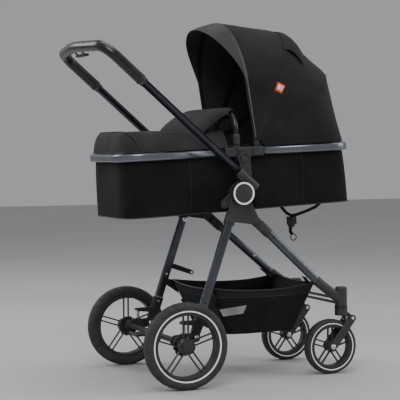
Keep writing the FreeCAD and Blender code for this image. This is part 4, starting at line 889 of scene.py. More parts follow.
def make_bassinet():
    """The tub's cloth cover, lining, binding and seams."""
    bm = bmesh.new()
    heights = [28.0, 14.0, 2.0, -14.0, -34.0, -56.0, -80.0, -104.0, -126.0, -144.0, -155.0, -161.0]
    rows = [tub_row(z, 0.0, tub_swell(z) if z < 28.0 else 0.0) for z in heights]
    bottom = [(168.0, 24.0 - HEAD_LENGTH, FOOT_LENGTH - 24.0, 18.0, 50.0, -162.4),
              (120.0, 70.0 - HEAD_LENGTH, FOOT_LENGTH - 70.0, 14.0, 30.0, -163.2),
              (70.0, 125.0 - HEAD_LENGTH, FOOT_LENGTH - 125.0, 12.0, 18.0, -163.8)]
    loops = outline_rows(bm, rows + bottom)
    bmesh.ops.holes_fill(bm, edges=loops[-1], sides=0)
    for vert in bm.verts:
        vert.co = tub_shape(vert.co)
    bmesh.ops.recalc_face_normals(bm, faces=bm.faces)
    crease(bm, 1.3, 85.0)
    cover = make_piece("bassinet_cover", bm, TO_SEAT, "seat", MATERIALS["cloth"],
                       ["bassinet_body"], 60.0)
    thickened(cover, 1.8, levels=1)

    bm = bmesh.new()
    levels = ((31.5, 3.0), (24.0, 5.0), (0.0, 6.0), (-40.0, 6.5), (-80.0, 7.0), (-120.0, 7.5), (-148.0, 9.0),
              (-154.0, 16.0))
    rows = [tub_row(height, inset) for height, inset in levels]
    loops = outline_rows(bm, rows + [(120.0, 72.0 - HEAD_LENGTH, FOOT_LENGTH - 72.0, 20.0, 25.0, -154.4)])
    bmesh.ops.holes_fill(bm, edges=loops[-1], sides=0)
    bmesh.ops.recalc_face_normals(bm, faces=bm.faces)
    crease(bm, 0.9, 60.0)
    bmesh.ops.reverse_faces(bm, faces=bm.faces)
    lining = make_piece("bassinet_lining", bm, TO_SEAT, "seat", MATERIALS["lining"], (),
                        60.0, recalc=False)
    thickened(lining, 1.6, offset=-1.0)

    roll = [tub_shape(point) for point in outline_points(tub_row(32.0, 4.0), 8, 20, 6)]
    swept("bassinet_top_roll", roll, 3.6, "seat", MATERIALS["lining"], TO_SEAT, closed=True)
    hem = [tub_shape(point) for point in outline_points(tub_row(-160.0, -0.6), 8, 20, 6)]
    swept("bassinet_hem", hem, 2.0, "seat", MATERIALS["black"], TO_SEAT, sides=8, closed=True)
    for index, y in enumerate((174.0, -214.0)):
        for side, sign in SIDES:
            line = []
            for z in range(6, -161, -12):
                half = tub_row(float(z), -0.4, tub_swell(z))[0]
                line.append(tub_shape(Vector((sign * (half + 0.9), y, z))))
            swept("bassinet_seam_%d_%s" % (index, side), line, 0.55, "seat",
                  MATERIALS["thread"], TO_SEAT, sides=8)


def inflate(piece, pressure, frames, cap):
    """Cloth under a little air pressure, stopped early, with no point moved past a cap."""
    rest = [vert.co.copy() for vert in piece.data.vertices]
    cloth = piece.modifiers.new("Cloth", "CLOTH")
    cloth.settings.use_pressure = True
    cloth.settings.uniform_pressure_force = pressure
    cloth.settings.effector_weights.gravity = 0.0
    cloth.settings.quality = 5
    cloth.settings.mass = 0.2
    cloth.point_cache.frame_start = 1
    cloth.point_cache.frame_end = frames
    scene = bpy.context.scene
    for number in range(1, frames + 1):
        scene.frame_set(number)
    graph = bpy.context.evaluated_depsgraph_get()
    moved = piece.evaluated_get(graph).to_mesh()
    places = [vert.co.copy() for vert in moved.vertices]
    piece.evaluated_get(graph).to_mesh_clear()
    piece.modifiers.remove(cloth)
    scene.frame_set(1)
    for vert, start, end in zip(piece.data.vertices, rest, places):
        step = end - start
        if step.length > cap:
            step = step.normalized() * cap
        vert.co = start + step


def subdivided(piece):
    """Rounds a padded piece off once it has swollen."""
    soft = piece.modifiers.new("Soft", "SUBSURF")
    soft.levels = 1
    soft.render_levels = 1
    applied(piece)
    piece.data.shade_smooth()


def make_mattress():
    """The padded mattress on the tub's floor."""
    bm = bmesh.new()
    rows = []
    for height, inset in ((-153.4, 14.0), (-150.0, 7.0), (-145.0, 4.0), (-134.0, 3.0), (-123.0, 4.0),
                          (-118.0, 7.0), (-114.6, 14.0), (-113.6, 34.0), (-113.4, 60.0)):
        corner = 44.0 - min(inset, 20.0) * 0.5
        rows.append((156.5 - inset, inset + 40.0 - HEAD_LENGTH, FOOT_LENGTH - 40.0 - inset, corner, corner,
                     height))
    loops = outline_rows(bm, rows, 14, 32, 6)
    for loop in (loops[0], loops[-1]):
        bmesh.ops.holes_fill(bm, edges=loop, sides=0)
    mattress = make_piece("mattress_pad", bm, TO_SEAT, None, MATERIALS["lining"], (), 60.0)
    remeshed(mattress, 7.0)
    inflate(mattress, 2.5, 10, 0.004)
    subdivided(mattress)
    finish_piece(mattress, "seat", MATERIALS["lining"], ["mattress"])


APRON_BASE = 34.8
APRON_FRONT = 42.0


def apron_row(share):
    """One ring of the apron, from the rail (0) in over its crest and on to the middle."""
    side = 52.0 * min(share, 1.0) + 36.0 * max(0.0, share - 1.0)
    back = 22.0 * min(share, 1.0) ** 1.3 + 47.0 * max(0.0, share - 1.0)
    return (196.0 - side, APRON_FRONT, FOOT_LENGTH - 13.0 - back, 3.0, max(8.0, 74.0 - 0.45 * side))


def apron_height(share, y):
    """How high the apron stands, from the rail (share 0) to its crest (1)."""
    top = 90.5 + 11.5 * (y - APRON_FRONT) / 340.0
    rise = math.sin(min(share, 1.0) * math.pi / 2) ** 0.72
    return APRON_BASE + (top - APRON_BASE) * rise


def make_apron():
    """The zipped cloth apron over the foot end, open towards the head."""
    bm = bmesh.new()
    shares = [0.0, 0.10, 0.22, 0.36, 0.52, 0.70, 0.86, 1.0, 1.2, 1.5, 1.9, 2.4, 2.9, 3.4]
    rows = [(*apron_row(share), share) for share in shares]
    loops = outline_rows(bm, rows, 18, 26, 7)
    bmesh.ops.holes_fill(bm, edges=loops[-1], sides=0)
    front = [face for face in bm.faces if max(vert.co.y for vert in face.verts) < APRON_FRONT + 3.1]
    bmesh.ops.delete(bm, geom=front, context="FACES")
    for vert in bm.verts:
        share = vert.co.z
        crown = 2.6 * math.sin(min(1.0, max(0.0, share - 0.7) / 2.7) * math.pi / 2)
        vert.co.z = apron_height(share, vert.co.y) + crown
    bmesh.ops.recalc_face_normals(bm, faces=bm.faces)
    if sum(face.normal.z * face.calc_area() for face in bm.faces) < 0:
        bmesh.ops.reverse_faces(bm, faces=bm.faces)
    crease(bm, 1.5, 70.0)
    for vert in bm.verts:
        if vert.co.z < APRON_BASE:
            vert.co.z = APRON_BASE
    apron = make_piece("apron_cover", bm, TO_SEAT, "seat", MATERIALS["apron"], ["apron"],
                       60.0, recalc=False)
    thickened(apron, 2.2, levels=1)
    line = []
    for index in range(17):
        share = 0.02 + 0.98 * math.sin(math.pi / 2 * index / 16) ** 0.85
        half, _, back, _, corner = apron_row(share)
        turn = math.radians(16.0 + 74.0 * (index / 16) ** 1.2)
        y = back - corner + corner * math.sin(turn)
        x = half - corner + corner * math.cos(turn)
        line.append(Vector((x + 0.8, y + 0.8, apron_height(share, y) + 1.4)))
    line += [Vector((x, line[-1].y, line[-1].z + 0.6)) for x in (60.0, 30.0)]
    mirrored = [Vector((-at.x, at.y, at.z)) for at in reversed(line)]
    line += [Vector((0.0, line[-1].y, line[-1].z))] + mirrored
    swept("apron_seam", line, 1.8, "seat", MATERIALS["black"], TO_SEAT, sides=8)
    line = outline_points((196.6, 44.0, FOOT_LENGTH - 12.2, 3.0, 74.0, 37.0), 10, 20, 7)
    start = min(range(len(line)), key=lambda i: (round(line[i].y), line[i].x))
    line = line[start:] + line[:start]
    line = [point for point in line if point.y > 60.0]
    swept("apron_zip", line, 1.5, "seat", MATERIALS["black"], TO_SEAT, sides=8)


# ---- bumper bar ---------------------------------------------------------------------------------
def make_bumper():
    """The bar in its leatherette, the ribbed end sockets and the padded flap over it."""
    polished("bumper_bar", MATERIALS["leather"])
    for side, sign in SIDES:
        at = (sign * 197.0, 19.0, 46.5)
        profile = [(0.0, 9.2), (0.0, 11.0), (1.0, 11.8)]
        for rib in range(4):
            base = 3.0 + rib * 6.2
            profile += [(base, 11.8), (base + 0.8, 12.6), (base + 3.4, 12.6), (base + 4.2, 11.8)]
        profile += [(29.0, 11.6), (31.0, 10.4), (31.5, 9.1)]
        turned("bumper_socket_" + side, profile, at, "bumper", MATERIALS["casting"], 36, TO_SEAT,
               lean=(0, 0, 1))
        screw_at = TO_SEAT @ Vector((sign * 208.6, 14.0, 30.0)) / MM
        screw("bumper_lock_" + side, screw_at, (sign, 0, 0), 7.0, "seat", "casting", 2.4)
    bm = bmesh.new()
    section = [(8.2, 128.0), (6.6, 142.0), (8.4, 154.6), (15.0, 162.0), (26.0, 164.4), (50.0, 161.6),
               (78.0, 152.8), (104.0, 140.2), (128.0, 124.6), (146.0, 108.2), (153.0, 99.0), (148.0, 99.6),
               (126.0, 112.0), (98.0, 126.0), (70.0, 137.0), (44.0, 145.0), (31.0, 151.0), (24.0, 158.0),
               (14.0, 158.6), (9.4, 152.0), (9.2, 142.0), (10.4, 128.0)]
    first = [bm.verts.new((-178.0, y, z)) for y, z in section]
    face = bm.faces.new(first)
    made = bmesh.ops.extrude_face_region(bm, geom=[face])["geom"]
    far = [item for item in made if isinstance(item, bmesh.types.BMVert)]
    bmesh.ops.translate(bm, verts=far, vec=(356.0, 0, 0))
    across = [edge for edge in bm.edges if abs(edge.verts[0].co.x - edge.verts[1].co.x) > 300.0]
    bmesh.ops.subdivide_edges(bm, edges=across, cuts=40, use_grid_fill=True)
    for vert in bm.verts:
        side = abs(vert.co.x) / 178.0
        reach = max(0.0, (vert.co.y - 40.0) / 113.0)
        droop = 16.0 * max(0.0, side - 0.75) ** 2 * 16.0 * (0.4 + reach) + 3.5 * reach
        vert.co.z -= droop
        vert.co.y -= 26.0 * max(0.0, side - 0.8) ** 2 * 25.0 * reach * 0.6
        vert.co.z += ripple(vert.co, 60.0, 1.6, 11.0) * min(1.0, reach * 3.0)
    flap = make_piece("bumper_flap_pad", bm, TO_SEAT, None, MATERIALS["apron"], (), 60.0)
    remeshed(flap, 2.4)
    inflate(flap, 1.5, 6, 0.002)
    smoothed(flap.data, 3)
    finish_piece(flap, "bumper", MATERIALS["apron"], ["bumper_flap"])


# ---- canopy -------------------------------------------------------------------------------------
def arch_points(low=14.0, half=ARCH_HALF, legs=14, round_steps=36):
    """An upright arch about the pivot as (x, 0, height): straight legs and a round top."""
    leg = [low + (ARCH_CENTRE - low) * index / legs for index in range(legs)]
    points = [Vector((half, 0, z)) for z in leg]
    for index in range(round_steps + 1):
        turn = math.pi * index / round_steps
        points.append(Vector((half * math.cos(turn), 0, ARCH_CENTRE + half * math.sin(turn))))
    points += [Vector((-half, 0, z)) for z in reversed(leg)]
    return points


def swung(bm, points, angle0, angle1, steps):
    """Sweeps a chain of points about the canopy pivot between two angles."""
    verts, edges = chain(bm, points)
    tilt = Matrix.Rotation(math.radians(angle0 - 90.0), 3, "X")
    bmesh.ops.rotate(bm, verts=verts, cent=(0, 0, 0), matrix=tilt)
    bmesh.ops.spin(bm, geom=verts + edges, cent=(0, 0, 0), axis=(1, 0, 0),
                   angle=math.radians(angle1 - angle0), steps=steps, use_merge=False)


def polar(at):
    """A place's distance from the canopy pivot and its angle in degrees."""
    return math.hypot(at.y, at.z), math.degrees(math.atan2(at.z, at.y))


def face_outwards(bm, centre):
    """Turns an open sheet's faces away from a point."""
    bmesh.ops.recalc_face_normals(bm, faces=bm.faces)
    total = 0.0
    for face in bm.faces:
        total += face.normal.dot(face.calc_center_median() - centre) * face.calc_area()
    if total < 0:
        bmesh.ops.reverse_faces(bm, faces=bm.faces)


def pulled_flat(bm, angle0, angle1, over_bow=1.6):
    """Cloth runs straight from bow to bow, so it lies nearer the pivot between them."""
    middle = (angle0 + angle1) / 2
    half = abs(angle1 - angle0) / 2 - over_bow
    for vert in bm.verts:
        radius, angle = polar(vert.co)
        away = max(-half, min(half, angle - middle))
        share = math.cos(math.radians(half)) / math.cos(math.radians(away))
        tight = min(1.0, max(0.0, (radius - 60.0) / 200.0))
        share = 1.0 - (1.0 - share) * tight
        vert.co.y *= share
        vert.co.z *= share


def canopy_cloth(name, bm, material, replaces, bodies):
    """Finishes one canopy panel: creases, wall, lining and its bend between two bows."""
    face_outwards(bm, Vector((0, 0, 150.0)))
    bm.normal_update()
    moves = []
    for vert in bm.verts:
        radius, angle = polar(vert.co)
        rays = noise.noise(Vector((angle / 3.2, radius / 230.0, vert.co.x / 260.0 + 5.0)))
        near = min(1.0, radius / 260.0)
        moves.append(vert.normal * (ripple(vert.co, 75.0, 1.3, 2.0) + rays * 1.0 * near))
    for vert, move in zip(bm.verts, moves):
        vert.co += move
    bmesh.ops.translate(bm, verts=bm.verts, vec=CANOPY)
    body = None if len(bodies) > 1 else bodies[0]
    piece = make_piece(name, bm, TO_SEAT, None, [material, MATERIALS["lining"]], (), 60.0,
                       recalc=False)
    wall = piece.modifiers.new("Thickness", "SOLIDIFY")
    wall.thickness = 1.5 * MM
    wall.offset = -1.0
    wall.material_offset = 1
    wall.material_offset_rim = 0
    soft = piece.modifiers.new("Soft", "SUBSURF")
    soft.levels = 1
    soft.render_levels = 1
    applied(piece)
    if body:
        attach(piece, body)
    else:
        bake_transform(piece)
    if replaces:
        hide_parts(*replaces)
    return piece


HEAD_LINE = 10.0 - HEAD_LENGTH
VENT_END = 129.5


def rear_chain():
    """The rear bow's arch and the rail's outline below it, point for point."""
    half, corner, height = ARCH_HALF - 0.5, 84.0, 35.0 - CANOPY.z
    upper = arch_points(16.0, half, 12, 32)
    side_x = half - 6.0
    side_start = -78.0 - CANOPY.y
    side_end = HEAD_LINE + corner - CANOPY.y
    rail = [(side_x, side_start + (side_end - side_start) * index / 12) for index in range(13)]
    for index in range(1, 12):
        turn = math.pi / 2 * index / 11
        rail.append((side_x - corner + corner * math.cos(turn), side_end - corner * math.sin(turn)))
    for index in range(1, 5):
        rail.append(((side_x - corner) * (1 - index / 5.0), side_end - corner))
    rail.append((0.0, side_end - corner))
    lower = [Vector((x, y, height)) for x, y in rail]
    lower += [Vector((-point.x, point.y, point.z)) for point in reversed(lower[:-1])]
    return upper, lower


def make_panels():
    """The three cloth panels between the bows and down to the tub's rail."""
    cloth = MATERIALS["canopy"]
    for name, first, second, bodies, node in (
            ("canopy_front_cloth", "front", "mid", ("canopy_front", "canopy_mid"), "canopy_panel_front"),
            ("canopy_mid_cloth", "mid", "rear", ("canopy_mid", "canopy_rear"), "canopy_panel_mid")):
        bm = bmesh.new()
        swung(bm, arch_points(), BOWS[first], BOWS[second], 12)
        pulled_flat(bm, BOWS[first], BOWS[second])
        canopy_cloth(name, bm, cloth, [node], bodies)

    bm = bmesh.new()
    upper, lower = rear_chain()
    tilt = Matrix.Rotation(math.radians(BOWS["rear"] - 90.0), 3, "X")
    top = chain(bm, [tilt @ point for point in upper])
    foot = chain(bm, lower)
    bmesh.ops.bridge_loops(bm, edges=top[1] + foot[1])
    links = [edge for edge in bm.edges if edge not in set(top[1] + foot[1])]
    bmesh.ops.subdivide_edges(bm, edges=links, cuts=9, use_grid_fill=True)
    canopy_cloth("canopy_rear_cloth", bm, cloth, ["canopy_panel_rear"], ("canopy_rear", "seat"))


def make_visor():
    """The visor: widest over the crown, and narrowing to nothing down the bow."""
    bm = bmesh.new()
    points = [point for point in arch_points(150.0, ARCH_HALF + 0.8, 4, 44) if point.z >= 186.0]
    swung(bm, points, BOWS["front"], BOWS["visor"], 8)
    for vert in bm.verts:
        radius, angle = polar(vert.co)
        rise = max(0.0, min(1.0, (radius - 190.0) / 208.0))
        width = rise * rise * (3 - 2 * rise) * 0.35 + rise * 0.65
        new_angle = BOWS["front"] - (BOWS["front"] - angle) * max(0.02, width) ** 0.8
        turn = math.radians(new_angle)
        ahead = (BOWS["front"] - new_angle) / 11.2
        reach = radius * (1.0 - 0.012 * ahead * ahead)
        vert.co.y = reach * math.cos(turn)
        vert.co.z = reach * math.sin(turn)
        vert.co.x *= 1.0 - 0.015 * ahead
    canopy_cloth("canopy_visor_cloth", bm, MATERIALS["pale"], ["canopy_visor"], ("canopy_front",))


def arch_line(angle, out):
    """A line over the canopy at an angle, a little outside its cloth."""
    tilt = Matrix.Rotation(math.radians(angle - 90.0), 3, "X")
    return [CANOPY + tilt @ point for point in arch_points(20.0, ARCH_HALF + out)]


def make_canopy_seams():
    """Piping along the front bow, and a seam over each of the others."""
    for index, shift in enumerate((-0.42, 0.42)):
        swept("canopy_piping_%d" % index, arch_line(BOWS["front"] + shift, 0.9), 1.15, "canopy_front",
              MATERIALS["piping"], TO_SEAT, sides=8)
    swept("canopy_seam_mid", arch_line(BOWS["mid"], 0.5), 0.75, "canopy_mid",
          MATERIALS["thread"], TO_SEAT, sides=8)
    swept("canopy_seam_rear", arch_line(BOWS["rear"], 0.2), 0.75, "canopy_rear",
          MATERIALS["thread"], TO_SEAT, sides=8)


def make_vent():
    """The raised vent flap over the crown, and the mesh under it."""
    bodies = ("canopy_mid", "canopy_rear")
    bm = bmesh.new()
    points = [point for point in arch_points(150.0, ARCH_HALF + 1.4, 4, 60) if point.z > 320.0]
    swung(bm, points, BOWS["mid"] - 0.6, VENT_END, 14)
    pulled_flat(bm, BOWS["mid"], BOWS["rear"])
    for vert in bm.verts:
        radius, angle = polar(vert.co)
        share = (angle - BOWS["mid"]) / (VENT_END - BOWS["mid"])
        lift = 12.0 * math.sin(math.pi * min(1.0, max(0.0, share)) ** 0.8)
        vert.co.y *= 1.0 + lift / radius
        vert.co.z *= 1.0 + lift / radius
    canopy_cloth("canopy_vent_flap", bm, MATERIALS["canopy"], (), bodies)
    bm = bmesh.new()
    points = [point for point in arch_points(150.0, ARCH_HALF + 1.0, 4, 60) if point.z > 323.0]
    swung(bm, points, BOWS["mid"] + 1.0, VENT_END - 2.5, 6)
    pulled_flat(bm, BOWS["mid"], BOWS["rear"])
    canopy_cloth("canopy_vent_mesh", bm, MATERIALS["black"], (), bodies)


def make_label():
    """A plain sewn tag with a square and a bar on the hood's side."""
    for name, material, low, high, start, end, out in (
            ("label_ground", "red", 180.0, 209.0, 113.4, 121.6, 1.2),
            ("label_field", "white", 187.0, 203.0, 115.0, 118.2, 1.9),
            ("label_bar", "white", 186.0, 204.0, 119.0, 120.2, 1.9)):
        bm = bmesh.new()
        points = []
        for index in range(7):
            height = low + (high - low) * index / 6
            x = math.sqrt(max(0.0, ARCH_HALF ** 2 - (height - ARCH_CENTRE) ** 2)) + out
            points.append(Vector((-x, 0, height)))
        swung(bm, points, start, end, 6)
        bmesh.ops.translate(bm, verts=bm.verts, vec=CANOPY)
        face_outwards(bm, Vector((0, CANOPY.y, CANOPY.z + 240.0)))
        patch = make_piece(name, bm, TO_SEAT, "canopy_mid", MATERIALS[material], (), 60.0,
                           recalc=False)
        thickened(patch, 0.8)


# ---- basket and webbing -------------------------------------------------------------------------
BASKET_FRONT = SHIFT - 501.0
BASKET_BACK = SHIFT - 129.5
BASKET_RIM_HALF = 168.0
BASKET_FLOOR = 143.0
BASKET_DEPTH = 155.0


def basket_shape(place):
    """Narrows the tub to the front, sags its rim between the corners and lifts its front ones."""
    at = place.copy()
    share = min(1.0, max(0.0, (at.y - BASKET_FRONT) / (BASKET_BACK - BASKET_FRONT)))
    along = min(1.0, abs(at.y - (BASKET_FRONT + BASKET_BACK) / 2) / 185.0)
    across = min(1.0, abs(at.x) / 168.0)
    upper = min(1.0, max(0.0, (at.z - 240.0) / 57.0))
    lift = max(0.0, 1.0 - 4.0 * share) * upper
    belly = math.sin(math.pi * min(1.0, max(0.0, (at.z - 143.0) / 150.0)))
    dip = 13.0 * (1.0 - along ** 2) if across > along else 9.0 * (1.0 - across ** 2)
    at.x *= (160.0 + 21.5 * share) / 168.0
    if across > along:
        at.x += math.copysign(2.0 * belly, at.x)
    at.y -= 10.0 * lift
    at.z += 6.0 * lift - dip * upper
    return at


def basket_row(height, corner=20.0, out=0.0):
    """The basket's outline at a height, drawn in towards its floor."""
    share = (height - BASKET_FLOOR) / BASKET_DEPTH
    inset = 66.0 * (1.0 - share) ** 1.05
    return (BASKET_RIM_HALF - 18.0 * (1.0 - share) + out, BASKET_FRONT + inset - out,
            BASKET_BACK - inset + out, corner, corner, height)


def make_basket():
    """The shopping basket: a sagging cloth tub with a hem, a net window and corner tabs."""
    bm = bmesh.new()
    rows = [basket_row(height) for height in (297.0, 290.0, 282.0, 272.0, 268.0, 250.0, 228.0, 206.0, 184.0,
                                              164.0, 150.0, 144.0)]
    rows.append((120.0, BASKET_FRONT + 92.0, BASKET_BACK - 92.0, 16.0, 16.0, 142.5))
    rows.append((70.0, BASKET_FRONT + 130.0, BASKET_BACK - 130.0, 12.0, 12.0, 141.5))
    loops = outline_rows(bm, rows, 18, 22, 5)
    hem_faces = 4 * len(loops[0])
    bmesh.ops.holes_fill(bm, edges=loops[-1], sides=0)
    for vert in bm.verts:
        vert.co = basket_shape(vert.co)
    bmesh.ops.recalc_face_normals(bm, faces=bm.faces)
    crease(bm, 2.4, 55.0)
    basket = make_piece("basket_cloth", bm, TO_FRAME, "frame",
                        [MATERIALS["cloth"], MATERIALS["canopy"]], ["basket"], 60.0)
    for polygon in basket.data.polygons:
        if polygon.index < hem_faces:
            polygon.material_index = 1
    thickened(basket, 1.6, levels=1)
    rim = [basket_shape(point) for point in outline_points(basket_row(297.0, out=0.6), 18, 22, 5)]
    swept("basket_rim_binding", rim, 2.6, "frame", MATERIALS["black"], sides=10, closed=True)
    hem = [basket_shape(point) for point in outline_points(basket_row(270.0, out=1.2), 18, 22, 5)]
    swept("basket_hem_seam", hem, 0.8, "frame", MATERIALS["thread"], sides=8, closed=True)
    for side, sign in SIDES:
        make_basket_net(side, sign)
        make_basket_tabs(side, sign)


def make_basket_net(side, sign):
    """The net window in a side wall, over a dark ground."""
    corners = [(-158.0, 229.0), (-254.0, 238.0), (-243.0, 212.0), (-173.0, 206.0)]
    bm = bmesh.new()
    bmesh.ops.create_grid(bm, x_segments=24, y_segments=9, size=1.0)
    for vert in bm.verts:
        u = (vert.co.x + 1.0) / 2
        v = (vert.co.y + 1.0) / 2
        low = Vector(corners[3]).lerp(Vector(corners[2]), u)
        high = Vector(corners[0]).lerp(Vector(corners[1]), u)
        place = low.lerp(high, v)
        part = (place.x + 501.0) / 371.5
        share = (place.y - BASKET_FLOOR) / BASKET_DEPTH
        half = (BASKET_RIM_HALF - 18.0 * (1.0 - share)) * (160.0 + 21.5 * part) / BASKET_RIM_HALF + 4.4
        vert.co = Vector((sign * half, SHIFT + place.x, place.y))
    ground = bm.copy()
    net = make_piece("basket_net_" + side, bm, TO_FRAME, "frame", MATERIALS["net"], (), 60.0)
    wires = net.modifiers.new("Net", "WIREFRAME")
    wires.thickness = 1.3 * MM
    wires.use_replace = True
    applied(net)
    make_piece("basket_net_ground_" + side, ground, Matrix.Translation((-sign * 0.0012, 0, 0)) @ TO_FRAME,
               "frame", MATERIALS["black"], (), 60.0)


def make_basket_tabs(side, sign):
    """The tabs that hang the basket: one to the rear leg and one to the front leg."""
    bm = bmesh.new()
    lower = chain(bm, [(sign * 171.0, BASKET_BACK - 22.0, 250.0), (sign * 186.0, SHIFT - 115.0, 277.0),
                       (sign * 192.6, SHIFT - 104.0, 290.0)])
    upper = chain(bm, [(sign * 173.0, BASKET_BACK - 8.0, 297.0), (sign * 188.0, SHIFT - 114.0, 299.0),
                       (sign * 192.6, SHIFT - 104.0, 302.0)])
    bmesh.ops.bridge_loops(bm, edges=lower[1] + upper[1])
    tab = make_piece("basket_tab_" + side, bm, TO_FRAME, "frame", MATERIALS["webbing"], (), 60.0)
    thickened(tab, 1.8, offset=0.0)
    top_line, foot_line = front_leg_line(sign)
    hold = between(foot_line, top_line, 58.0)
    bm = bmesh.new()
    line = [(sign * 150.0, BASKET_FRONT + 6.0, 286.0), (sign * 158.0, BASKET_FRONT + 14.0, 300.0),
            (hold.x - sign * 12.0, hold.y + 10.0, hold.z - 8.0)]
    made = bmesh.ops.extrude_edge_only(bm, edges=chain(bm, line)[1])["geom"]
    top = [item for item in made if isinstance(item, bmesh.types.BMVert)]
    bmesh.ops.translate(bm, verts=top, vec=(0, 18.0, 6.0))
    strap = make_piece("basket_front_tab_" + side, bm, TO_FRAME, "frame", MATERIALS["webbing"],
                       (), 60.0)
    thickened(strap, 1.6, offset=0.0)


def flat_band(name, points, width, thickness, body):
    """A band of webbing that lies in the middle plane, edge up and down."""
    bm = bmesh.new()
    sides = []
    for flip in (-0.5, 0.5):
        line = []
        for index, point in enumerate(points):
            before, after = points[max(0, index - 1)], points[min(len(points) - 1, index + 1)]
            along = Vector((0, after[0] - before[0], after[1] - before[1])).normalized()
            line.append(Vector((0, point[0], point[1])) + Vector((0, -along.z, along.y)) * width * flip)
        sides.append(chain(bm, line)[1])
    bmesh.ops.bridge_loops(bm, edges=sides[0] + sides[1])
    band = make_piece(name, bm, TO_SEAT, body, MATERIALS["webbing"], (), 60.0)
    return thickened(band, thickness, offset=0.0)


def make_webbing():
    """The webbing loop under the head end, its side-release buckle and ring."""
    loop = [(-212.0, -160.0), (-222.0, -181.0), (-238.0, -199.0), (-254.0, -207.0), (-274.0, -205.5),
            (-306.0, -197.5), (-344.0, -185.0), (-361.0, -174.0), (-369.0, -161.0)]
    flat_band("webbing_loop", loop, 10.0, 2.4, "seat")
    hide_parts("webbing_strap")
    bm = bmesh.new()
    for size, place in (((9.0, 35.0, 27.0), (-254.0, -224.0)), ((11.4, 17.0, 15.0), (-252.0, -224.0)),
                        ((7.0, 24.0, 9.0), (-252.0, -241.0))):
        made = bmesh.ops.create_cube(bm, size=1.0)["verts"]
        bmesh.ops.scale(bm, vec=size, verts=made)
        bmesh.ops.translate(bm, vec=(0, *place), verts=made)
    bmesh.ops.bevel(bm, geom=bm.edges[:], offset=2.2, segments=3, profile=0.5, affect="EDGES", material=-1)
    make_piece("buckle_body", bm, TO_SEAT, "seat", MATERIALS["black"], ["webbing_buckle"], 40.0)
    tail = [(-252.0, -243.0), (-247.0, -254.0), (-249.0, -264.0), (-255.0, -271.0)]
    flat_band("buckle_tail", tail, 11.0, 2.4, "seat")
    turns = [math.tau * index / 12 for index in range(13)]
    section = [(1.7 * math.cos(turn), 10.5 + 1.7 * math.sin(turn)) for turn in turns]
    turned("buckle_ring", section, (0.0, -258.0, -281.0), "seat", MATERIALS["black"], 40, TO_SEAT)


# ---- floor, lights and camera -------------------------------------------------------------------
def soft_light(name, place, aim, size, power):
    """A large soft light at a place, turned towards a point."""
    data = bpy.data.lights.new(name, "AREA")
    data.shape = "RECTANGLE"
    data.size = size[0]
    data.size_y = size[1]
    data.energy = power
    lamp = bpy.data.objects.new(name, data)
    lamp.location = place
    lamp.rotation_euler = (Vector(aim) - Vector(place)).to_track_quat("-Z", "Y").to_euler()
    bpy.context.scene.collection.objects.link(lamp)


def make_stage():
    """The pale floor, the soft lights and the camera."""
    looks = bpy.context.scene.stroller_looks
    bm = bmesh.new()
    bmesh.ops.create_grid(bm, x_segments=1, y_segments=1, size=14.0)
    mesh = bpy.data.meshes.new("studio_floor")
    bm.to_mesh(mesh)
    bm.free()
    floor = bpy.data.objects.new("studio_floor", mesh)
    bpy.context.scene.collection.objects.link(floor)
    material, tree, shader = new_material("Studio floor")
    where = object_coordinates(tree)
    cloud = pattern(tree, "ShaderNodeTexNoise", 0.9, where, Detail=2.0)
    tone = looks.floor_tone
    tree.links.new(spread(tree, cloud, (tone * 0.97,) * 3, (tone * 1.03,) * 3), shader.inputs["Base Color"])
    shader.inputs["Roughness"].default_value = 0.7
    mesh.materials.append(material)

    world = bpy.data.worlds.new("Studio")
    world.use_nodes = True
    world.node_tree.nodes["Background"].inputs["Color"].default_value = (0.86, 0.87, 0.89, 1.0)
    world.node_tree.nodes["Background"].inputs["Strength"].default_value = looks.sky
    bpy.context.scene.world = world
    soft_light("key", (-3.2, 1.6, 3.4), (0, 0, 0.6), (2.6, 2.6), looks.key_power)
    soft_light("top", (0.2, -0.4, 4.2), (0, 0, 0.5), (3.0, 3.0), looks.key_power * 0.75)
    soft_light("front", (-1.4, -3.8, 2.0), (0, 0, 0.6), (2.2, 2.2), looks.key_power * 0.5)
    soft_light("rim", (2.8, 2.6, 2.6), (0, 0, 0.7), (2.0, 2.4), looks.key_power * 0.6)

    yaw, pitch, roll = math.radians(-21.558), math.radians(2.0388), math.radians(-0.328)
    view = Vector((math.cos(yaw) * math.cos(pitch), math.sin(yaw) * math.cos(pitch), -math.sin(pitch)))
    data = bpy.data.cameras.new("view")
    data.lens = 127.94
    data.sensor_width = 36.0
    camera = bpy.data.objects.new("view", data)
    turn = view.to_track_quat("-Z", "Y").to_matrix() @ Matrix.Rotation(roll, 3, "Z")
    camera.matrix_world = Matrix.Translation((-4.34615, 1.55388 + SHIFT * MM, 0.73890)) @ turn.to_4x4()
    bpy.context.scene.collection.objects.link(camera)
    bpy.context.scene.camera = camera


